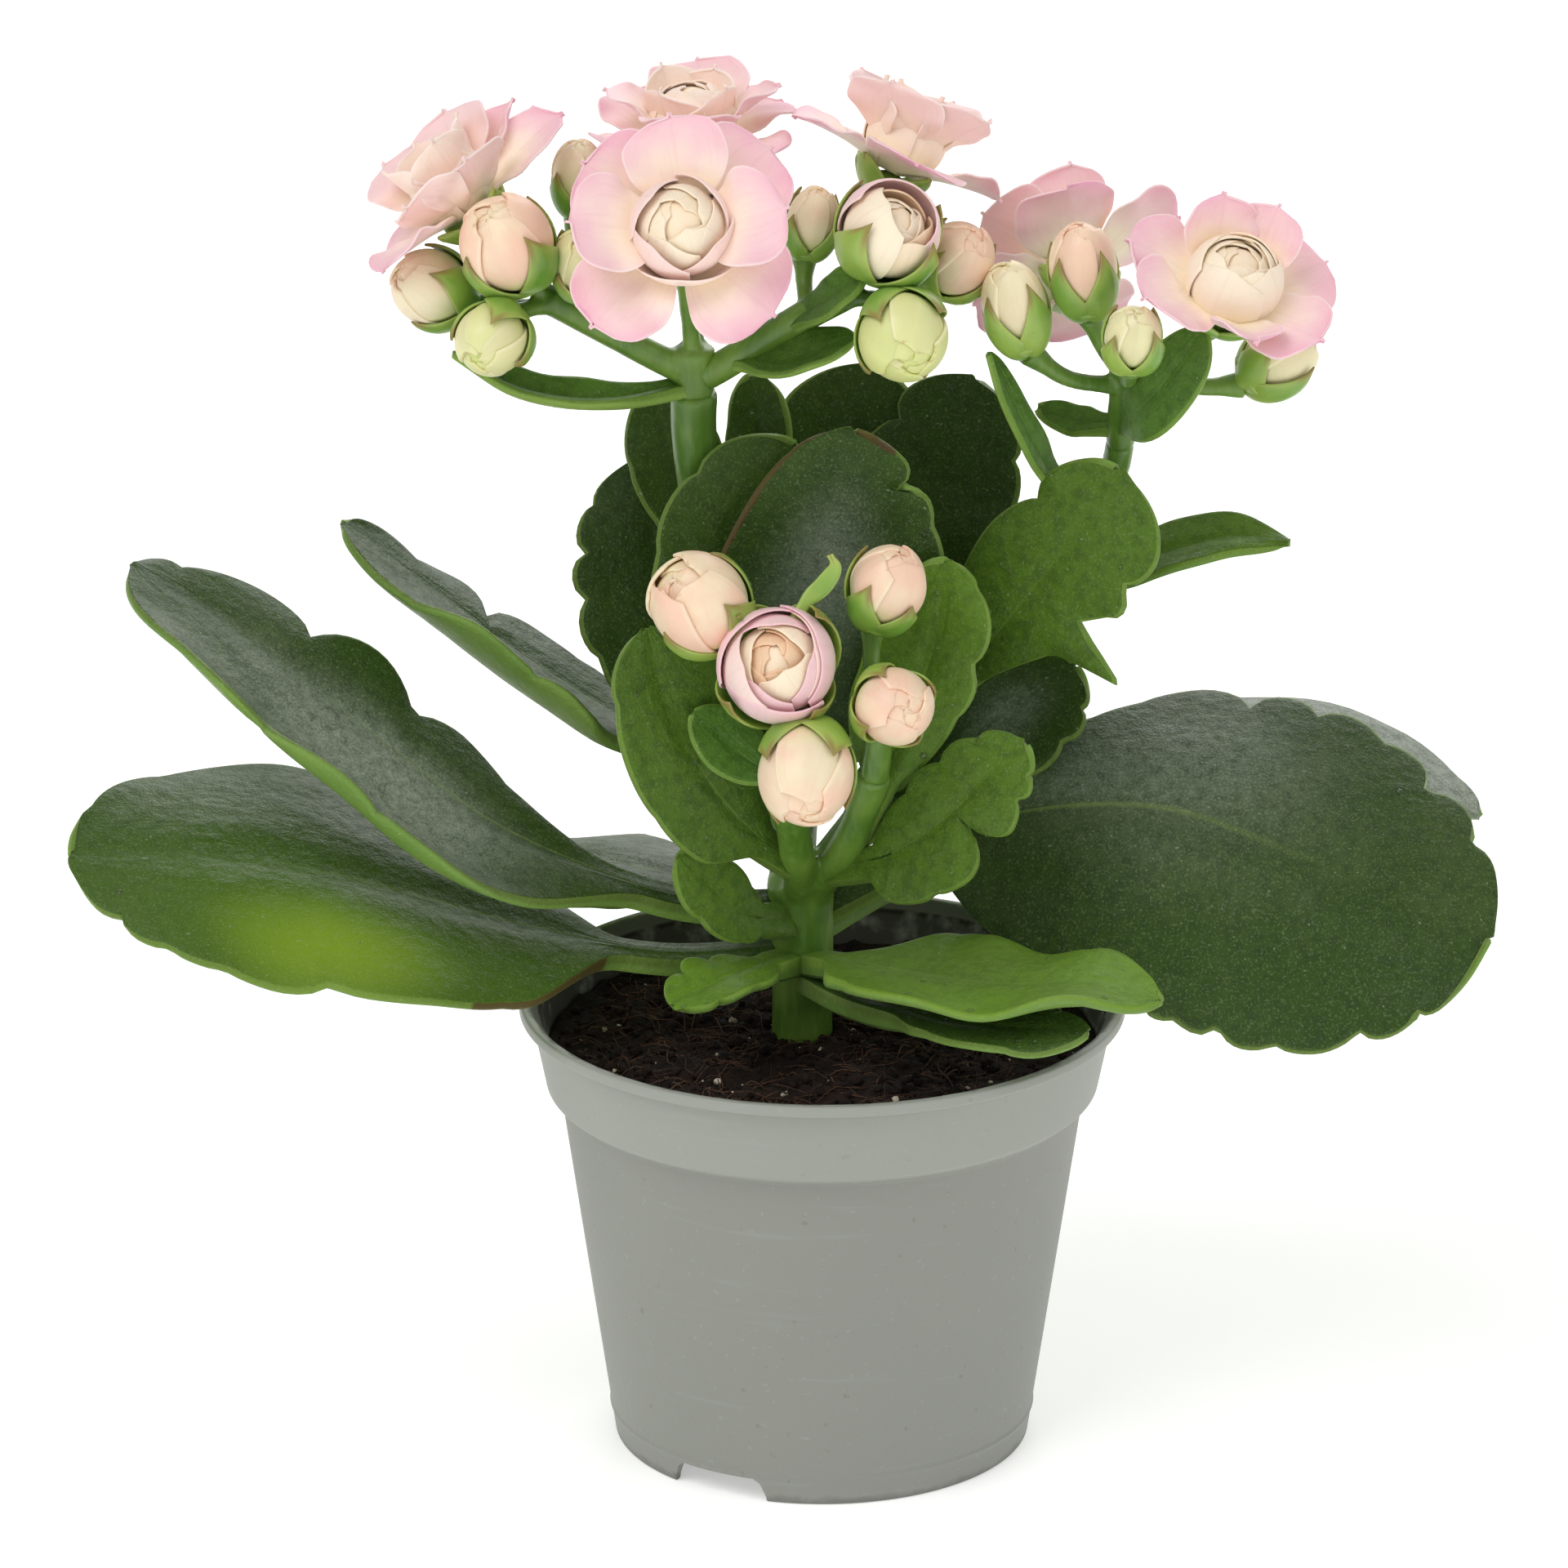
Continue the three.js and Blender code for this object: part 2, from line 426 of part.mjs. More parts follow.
// A leaf, bract or petal.
function blade(shape, grow = 0) {
  const { rib, face, wide, petiole = 0.1, belly = 0.55, lobes = 0, notch = [0, 0], blunt = 0.5 } = shape;
  const { turn, ease = [1, 1], thick = 1.4, thickEdge = 0.8, stalkWide = 1.7, stalkThick = 2.6 } = shape;
  const { fine = false, flat = false, foot = 0 } = shape;
  const [bellies, ends, feet] = [belly, blunt, foot].map(bySide);
  const path = new THREE.CatmullRomCurve3(rib.map(vector));
  const [rootFace, tipFace] = face.map((list) => vector(list).normalize());
  const columns = fine ? [-1, -0.55, 0, 0.55, 1] : flat ? [-1, 1] : [-1, 0, 1];
  const shares = lobes > 0 ? [0.17] : [0.4, 0.8];
  for (let lobe = 0; lobe < lobes; lobe += 1) {
    const steps = fine ? [0, 0.25, 0.7] : [0, 0.4];
    for (const step of steps) shares.push(SCALLOP_START + ((1 - SCALLOP_START) * (lobe + step)) / lobes);
  }
  if (lobes > 0) shares.push(0.95);
  shares.push(1);
  const rows = [{ s: 0, q: 0 }];
  if (petiole > 0.05) rows.push({ s: petiole * 0.6, q: 0 });
  for (const q of shares) rows.push({ s: petiole + (1 - petiole) * q, q });
  const longest = Math.max(...wide);

  const rings = rows.map(({ s, q }, row) => {
    const upper = [];
    const lower = [];
    for (const column of columns) {
      const side = column < 0 ? 0 : 1;
      const stagger = lobes > 0 ? 0.03 * column * Math.sin(Math.PI * q) : 0;
      const along = THREE.MathUtils.clamp(s + stagger, 0, 1);
      const middle = path.getPointAt(along);
      const ahead = path.getTangentAt(along);
      const look = rootFace.clone().lerp(tipFace, along);
      const across = ahead.clone().cross(look).normalize();
      const up = across.clone().cross(ahead).normalize();
      const scallop = (lobes * (q - SCALLOP_START)) / (1 - SCALLOP_START);
      const wave = 1 - Math.sqrt(Math.abs(Math.sin(Math.PI * scallop)));
      const dip = scallop > 0 && q < 0.97 ? notch[side] * wave : 0;
      const bladeWide = wide[side] * bladeShare(q, bellies[side], ends[side], feet[side]) * (1 - dip);
      const stalkShare = THREE.MathUtils.smoothstep(1 - q, 0.5, 1);
      const half = Math.max(bladeWide, stalkWide * stalkShare, 0.35) + grow;
      const reach = Math.abs(column) * half;
      let [out, raised, bend] = [0, 0, 0];
      for (let step = 0; step < BEND_STEPS; step += 1) {
        const share = (reach * (step + 0.5)) / BEND_STEPS / longest;
        bend = radians(turn[side]) * share ** ease[side];
        out += (reach / BEND_STEPS) * Math.cos(bend);
        raised += (reach / BEND_STEPS) * Math.sin(bend);
      }
      const sign = Math.sign(column);
      const place = middle.clone().addScaledVector(across, sign * out).addScaledVector(up, raised);
      const normal = up.clone().multiplyScalar(Math.cos(bend));
      normal.addScaledVector(across, -sign * Math.sin(bend));
      const bladeThick = THREE.MathUtils.lerp(thick, thickEdge, Math.max(column ** 2, q ** 3));
      const rootThick = stalkThick * (1 - 0.35 * column ** 2);
      const deep = THREE.MathUtils.lerp(bladeThick, rootThick, stalkShare ** 2) / 2 + grow;
      upper.push(place.clone().addScaledVector(normal, deep));
      lower.unshift(place.clone().addScaledVector(normal, -deep));
    }
    const push = row === 0 ? -grow : row === rows.length - 1 ? grow : 0;
    const endwise = path.getTangentAt(s).multiplyScalar(push);
    return [...upper, ...lower].map((point) => point.add(endwise));
  });
  return bladeSolid(rings, columns.length);
}

// Places a solid that was built round the origin, +Z ahead, at a point looking along an axis.
function placed(solid, at, axis, spin = 0) {
  const ahead = vector(axis).normalize();
  const turn = new THREE.Quaternion().setFromUnitVectors(new THREE.Vector3(0, 0, 1), ahead);
  turn.multiply(new THREE.Quaternion().setFromAxisAngle(new THREE.Vector3(0, 0, 1), radians(spin)));
  const matrix = new THREE.Matrix4().compose(vector(at), turn, new THREE.Vector3(1, 1, 1));
  return solid.transform(matrix.elements);
}

const ROUND = 8; // sides of buds, hearts and calyces
const CUP_LATITUDE = -40; // a low ring that a calyx and its bud share, so that the gap between them is even
const BUD_RIM = [-10, 24]; // latitudes of the valleys and points of a calyx

// A closed solid from rings of points round the Z axis, with a point at each end. Four neighbouring points
// are split along the diagonal that lies farther out.
function turnedSolid(first, rings, last) {
  const points = [first, ...rings.flat(), last];
  const indices = [];
  const at = (row, side) => 1 + row * ROUND + (side % ROUND);
  const out = (a, b) => points[a].clone().add(points[b]).lengthSq();
  const end = points.length - 1;
  const lastRow = rings.length - 1;
  for (let side = 0; side < ROUND; side += 1) {
    indices.push(0, at(0, side + 1), at(0, side));
    indices.push(end, at(lastRow, side), at(lastRow, side + 1));
    for (let row = 0; row < lastRow; row += 1) {
      const [a, b] = [at(row, side), at(row, side + 1)];
      const [c, d] = [at(row + 1, side + 1), at(row + 1, side)];
      if (out(a, c) > out(b, d)) indices.push(a, b, c, a, c, d);
      else indices.push(a, b, d, b, c, d);
    }
  }
  return solidFromArrays(points.flatMap((point) => point.toArray()), indices);
}

// A ring of points on a ball that is stretched along Z; latitude and size may differ from side to side.
function ballRing(radius, tall, latitude, size = () => 1) {
  return Array.from({ length: ROUND }, (unused, side) => {
    const angle = (side / ROUND) * 2 * Math.PI;
    const lift = radians(latitude(side));
    const wide = radius * size(side) * Math.cos(lift);
    return new THREE.Vector3(wide * Math.cos(angle), wide * Math.sin(angle), radius * tall * Math.sin(lift));
  });
}

// A closed bud or the heart of a flower: four petals wrapped round each other, each with one edge proud.
function wrappedBall(radius, tall, grow = 0) {
  const size = radius + grow;
  const wrap = (deep) => (side) => (side % 2 ? 1 : 1 - deep);
  const rings = [
    ballRing(size, tall, () => CUP_LATITUDE),
    ballRing(size, tall, (side) => BUD_RIM[side % 2]),
    ballRing(size, tall, (side) => [32, 50][side % 2], wrap(0.06)),
    ballRing(size, tall, (side) => [62, 74][side % 2], wrap(0.2)),
  ];
  return turnedSolid(new THREE.Vector3(0, 0, -size * tall), rings, new THREE.Vector3(0, 0, size * tall));
}

// A green cup with four points that holds a bud of the given radius.
function calyx(radius, tall, grow = 0) {
  const inner = radius + GAP + 0.06 - grow;
  const outer = radius + GAP + 0.06 + SEPAL_THICK + grow;
  const rim = (side) => BUD_RIM[side % 2];
  const rings = [
    ballRing(outer, tall, () => CUP_LATITUDE),
    ballRing(outer, tall, (side) => rim(side) + 6 * grow),
    ballRing(inner, tall, rim),
    ballRing(inner, tall, () => CUP_LATITUDE),
  ];
  return turnedSolid(new THREE.Vector3(0, 0, -outer * tall), rings, new THREE.Vector3(0, 0, -inner * tall));
}

// The green star of four points under an open flower. The flower rests just above it.
function calyxStar(grow = 0) {
  const { radius, depth, point } = STAR;
  const low = ballRing(radius * 0.7 + grow, 1, () => 0).map((place) => place.setZ(-depth * 0.6));
  const rim = ballRing(radius + grow, 1, () => 0, (side) => (side % 2 ? point : 1))
    .map((place, side) => place.setZ(side % 2 ? 0.5 : -0.1));
  return turnedSolid(new THREE.Vector3(0, 0, -depth - grow), [low, rim], new THREE.Vector3(0, 0, grow));
}

// ---------------------------------------------------------------- pot, soil and stem

function potSolid() {
  const { lipRadius, height, lipHeight, lipProud, collarHeight, collarFootRadius, wallTopRadius } = POT;
  const { footRadius, wall, skirt, restRadius, ridgeHeight, sides } = POT;
  const collarFoot = height - collarHeight;
  const lipFoot = height - lipHeight;
  const floorTop = skirt + wall;
  const outside = [
    [0, 0], [restRadius, 0], [restRadius + 1.5, skirt], [footRadius - wall, skirt], [footRadius - wall, 0],
    [footRadius, 0], [footRadius + 0.45, ridgeHeight], [wallTopRadius, collarFoot - 0.7],
    [collarFootRadius, collarFoot + 0.3], [lipRadius - lipProud, lipFoot], [lipRadius, lipFoot + 0.2],
    [lipRadius - 0.2, height],
  ];
  const inside = [
    [lipRadius - 0.9, height], [collarFootRadius - wall, collarFoot + 0.1],
    [wallTopRadius - wall, collarFoot - 1], [footRadius + 0.4 - wall, floorTop],
    [restRadius + 2, floorTop], [restRadius + 0.6, wall], [0, wall],
  ];
  const profile = [...outside, ...inside].map(([radius, z]) => new THREE.Vector2(radius, z));
  const lathe = new THREE.LatheGeometry(profile, sides);
  lathe.rotateX(Math.PI / 2);
  let pot = solidFromGeometry(lathe);
  for (const turn of POT.notchTurns) {
    const notch = new THREE.BoxGeometry(POT.notchWidth, 6, 2 * skirt);
    notch.translate(0, -footRadius, 0);
    notch.rotateZ(radians(turn));
    pot = pot.subtract(solidFromGeometry(notch));
  }
  for (let hole = 0; hole < POT.drainCount; hole += 1) {
    const drain = new THREE.CylinderGeometry(POT.drainRadius, POT.drainRadius, 6, 8);
    drain.rotateX(Math.PI / 2);
    drain.translate(POT.drainRing, 0, skirt);
    drain.rotateZ(((hole + 0.5) / POT.drainCount) * 2 * Math.PI);
    pot = pot.subtract(solidFromGeometry(drain));
  }
  return pot;
}

// A repeatable random number from 0 to 1 for each call.
function seededRandom(seed) {
  let state = seed;
  return () => {
    state = (state * 16807) % 2147483647;
    return state / 2147483647;
  };
}

function soilSolid() {
  const { wall, skirt, footRadius, restRadius, wallTopRadius, collarFootRadius, height, collarHeight } = POT;
  const collarFoot = height - collarHeight;
  const floor = skirt + wall + GAP;
  const rimRadius = collarFootRadius - wall - GAP + 0.9;
  const profile = [
    [0, wall + GAP], [restRadius, wall + GAP], [restRadius + 1.6, floor], [footRadius - wall, floor],
    [wallTopRadius - wall - GAP - 0.35, collarFoot - 1], [rimRadius - 0.9, collarFoot + 0.6],
    [rimRadius, SOIL.level - 0.4], [rimRadius - 4, SOIL.level], [14, SOIL.level + 0.1],
    [6.5, SOIL.level + 0.5], [0, SOIL.level + 0.6],
  ].map(([radius, z]) => new THREE.Vector2(radius, z));
  const lathe = new THREE.LatheGeometry(profile, SOIL.sides);
  lathe.rotateX(Math.PI / 2);
  const merged = mergeVertices(lathe.deleteAttribute('normal').deleteAttribute('uv'), 1e-4);
  const random = seededRandom(SOIL.seed);
  const position = merged.attributes.position;
  for (let index = 0; index < position.count; index += 1) {
    const z = position.getZ(index);
    if (z > SOIL.level - 0.1) position.setZ(index, z + SOIL.lump * (random() * 2 - 1));
  }
  return solidFromArrays(position.array, merged.index.array);
}

function stemSolid(grow = 0) {
  return union([...[MAIN, ...ARMS].map((arm) => tube(arm, grow)), ...bracts('stem', grow)]);
}

// ---------------------------------------------------------------- flowers

// One petal as a blade whose rib curves in the plane through the flower's axis.
function petal({ length, wide, start, rise }, turn) {
  const [foot, tip] = rise.map(radians);
  const rib = [];
  let [out, up] = start;
  const steps = 4;
  for (let step = 0; step <= steps; step += 1) {
    rib.push([out * Math.cos(turn), out * Math.sin(turn), up]);
    const slope = foot + (tip - foot) * ((step + 0.5) / steps);
    out += (length / steps) * Math.cos(slope);
    up += (length / steps) * Math.sin(slope);
  }
  const inward = [-Math.cos(turn), -Math.sin(turn)];
  const look = (slope) => [Math.sin(slope) * inward[0], Math.sin(slope) * inward[1], Math.cos(slope)];
  return {
    rib, face: [look(foot), look(tip)], wide: [wide, wide], petiole: 0.02, belly: 0.7, blunt: 0.45,
    turn: [0, 0], thick: 0.75, thickEdge: 0.7, stalkWide: 0.9, stalkThick: 0.9, flat: true,
  };
}

function flowerSolid({ at, axis, spin, whorls, heart }, grow = 0) {
  const parts = [wrappedBall(heart, 1, grow).translate([0, 0, heart + GAP + 0.1])];
  whorls.forEach((whorl, level) => {
    for (let index = 0; index < whorl.count; index += 1) {
      const turn = ((index + level / 2) / whorl.count) * 2 * Math.PI;
      parts.push(blade(petal(whorl, turn), grow));
    }
  });
  return placed(union(parts), at, axis, spin);
}

function budSolid({ at, axis, radius, tall }, grow = 0) {
  return placed(wrappedBall(radius, tall, grow), at, axis);
}

// The stalk of a bud or flower, from its branch to a point under it.
function stalk({ spray, from: [branch, share], at, axis }, drop, grow) {
  const start = new THREE.CatmullRomCurve3(BRANCHES[spray][branch].line.map(vector)).getPointAt(share);
  const ahead = vector(axis).normalize();
  const end = vector(at).addScaledVector(ahead, -drop);
  const bend = end.clone().addScaledVector(ahead, -0.35 * end.distanceTo(start));
  const line = [start, start.clone().lerp(bend, 0.5).lerp(end, 0.25), end].map((point) => point.toArray());
  return tube({ radius: STALK_RADIUS, sides: 5, steps: 2, line }, grow);
}

function bracts(holder, grow) {
  const own = Object.entries(BRACTS).filter(([name]) => name.split('_')[0] === holder);
  return own.map(([, shape]) => blade({ ...shape, thick: 1.2, stalkWide: 1.3, stalkThick: 1.6 }, grow));
}

function spraySolid(name, grow = 0) {
  const parts = [...BRANCHES[name].map((branch) => tube(branch, grow)), ...bracts(name, grow)];
  for (const bud of Object.values(BUDS).filter(({ spray }) => spray === name)) {
    parts.push(placed(calyx(bud.radius, bud.tall, grow), bud.at, bud.axis));
    parts.push(stalk(bud, (bud.radius + 0.8) * bud.tall, grow));
  }
  for (const flower of Object.values(FLOWERS).filter(({ spray }) => spray === name)) {
    parts.push(placed(calyxStar(grow), flower.at, flower.axis));
    parts.push(stalk(flower, STAR.depth - 0.4, grow));
  }
  return union(parts);
}

// ---------------------------------------------------------------- assembly

// Each piece is cleared of all the pieces before it.
const pieces = [
  { name: 'pot', finish: 'pot', make: () => potSolid() },
  { name: 'stem', finish: 'stem', make: (grow) => stemSolid(grow) },
  { name: 'soil', finish: 'soil', make: () => soilSolid() },
  ...Object.keys(BRANCHES).map((name) => ({
    name: `spray_${name}`, finish: 'stem', make: (grow) => spraySolid(name, grow),
  })),
  ...Object.entries(BUDS).map(([name, bud]) => ({
    name, finish: 'bud', make: (grow) => budSolid(bud, grow),
  })),
  ...Object.entries(FLOWERS).map(([name, flower]) => ({
    name, finish: 'petal', make: (grow) => flowerSolid(flower, grow),
  })),
  ...Object.entries(LEAVES).map(([name, leaf]) => ({
    name, finish: BRIGHT_LEAVES.includes(name) ? 'leafBright' : 'leaf', make: (grow) => blade({ foot: LEAF_FOOT, ...leaf }, grow),
  })),
];

const touches = (a, b) => [0, 1, 2].every((axis) => a.min[axis] < b.max[axis] && b.min[axis] < a.max[axis]);

const plant = new THREE.Group();
const grownBefore = [];
for (const { name, finish, make } of pieces) {
  let solid = make(0);
  for (const grown of grownBefore) {
    if (touches(grown.boundingBox(), solid.boundingBox())) solid = solid.subtract(grown);
  }
  solid = largestBody(solid);
  if (name !== 'pot' && name !== 'soil') grownBefore.push(make(GAP));
  const [color, roughness] = COLOURS[finish];
  const material = new THREE.MeshStandardMaterial({ color, roughness, metalness: 0 });
  const mesh = new THREE.Mesh(geometryFromSolid(solid), material);
  mesh.name = name;
  plant.add(mesh);
}

export default plant;
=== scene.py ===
"""Potted kalanchoe with double pink flowers: the looks of the plant, built round the packed model.

Sizes in the tables are in millimetres, in the model's own frame: X to the right, Y away, Z up.
"""
import math

import bpy
import numpy as np
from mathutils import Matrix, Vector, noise


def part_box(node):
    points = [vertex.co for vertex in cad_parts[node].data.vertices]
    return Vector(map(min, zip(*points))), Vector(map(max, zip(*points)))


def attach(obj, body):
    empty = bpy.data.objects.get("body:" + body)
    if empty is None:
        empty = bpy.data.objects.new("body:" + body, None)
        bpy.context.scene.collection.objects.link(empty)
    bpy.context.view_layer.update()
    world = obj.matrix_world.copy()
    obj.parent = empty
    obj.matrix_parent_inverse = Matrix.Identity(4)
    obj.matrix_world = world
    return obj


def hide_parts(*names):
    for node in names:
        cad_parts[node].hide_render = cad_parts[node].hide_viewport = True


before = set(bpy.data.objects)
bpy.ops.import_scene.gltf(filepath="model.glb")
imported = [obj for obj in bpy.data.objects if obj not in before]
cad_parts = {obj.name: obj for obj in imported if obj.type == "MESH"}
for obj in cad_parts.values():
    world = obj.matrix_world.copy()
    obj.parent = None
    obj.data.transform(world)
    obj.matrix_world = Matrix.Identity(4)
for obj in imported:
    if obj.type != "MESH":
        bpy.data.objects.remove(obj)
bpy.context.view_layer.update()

bl_info = {
    "name": "Potted kalanchoe",
    "version": (1, 0, 0),
    "blender": (4, 5, 0),
    "location": "3D View > Sidebar > Kalanchoe",
    "description": "Builds a kalanchoe with double flowers in a nursery pot, and its studio",
    "category": "Add Mesh",
}

MM = 0.001
GAP = 0.3  # left between pieces that meet
SEEDS = dict(soil=7, sprays=20, buds=100, flowers=300, leaves=500, drops=900)

# ------------------------------------------------------------------ the plant's sizes

POT = dict(
    lip_radius=30, height=45.8, lip_height=1.3, lip_proud=1.2, collar_height=9, collar_foot_radius=27.3,
    wall_top_radius=25.9, foot_radius=20.6, wall=0.85, skirt=2.2, rest_radius=6, ridge_height=3,
    notch_width=10.3, notch_turns=(-30, 150), drain_radius=2.2, drain_ring=13.5, drain_count=4,
)
SOIL_LEVEL = 41.4

MAIN = dict(radius=3.05, line=[[-2, 0, 31], [-2, 0, 42], [-2, -0.6, 52], [-2.2, -1, 58.5]])
ARMS = [
    dict(radius=2.2, line=[
        [-2.2, -1, 57], [-4.5, 2, 66], [-8, 4, 80], [-11, 3, 92], [-12.5, 0, 104], [-12.5, -1, 109]]),
    dict(radius=1.4, line=[
        [-2, 0, 57], [6, 6, 66], [18, 9, 82], [26, 8, 91.5], [28.5, 6, 98.5], [29, 4.5, 102]]),
    dict(radius=1.7, line=[[-2, -1, 56.5], [-2.5, -8, 63.5], [-3.5, -14, 72]]),
    dict(radius=1.7, line=[[-1.5, -1, 56.5], [2.5, -8, 65], [5, -12, 73.5]]),
]
BRANCHES = {
    "left": [
        dict(radius=1.9, line=[[-12.5, -1, 108.6], [-12.5, -1.5, 113.5]]),
        dict(radius=1.4, line=[[-12.5, -1, 110.5], [-18, -3, 114], [-26.5, -4, 119.3]]),
    ],
    "middle": [
        dict(radius=1.5, line=[[-11.5, -1.4, 110.6], [-9.4, -2, 112], [-4, -3.5, 116], [2, -5, 120]]),
    ],
    "right": [
        dict(radius=1.35, line=[[29, 4.5, 101.6], [29, 3, 106], [29.5, 1.5, 110], [31.5, 0, 111.5]]),
    ],
    "front": [dict(radius=1.5, line=[[-3.5, -13.9, 71.6], [-3.8, -16, 76], [-3.6, -17, 79.5]])],
    "front_right": [dict(radius=1.4, line=[[5, -12, 73.1], [5.4, -13.5, 77.5], [5.6, -14.5, 81.5]])],
}
STALK_RADIUS = 0.85
FLOWER_FOOT = 1.6  # a stalk ends this far under its flower

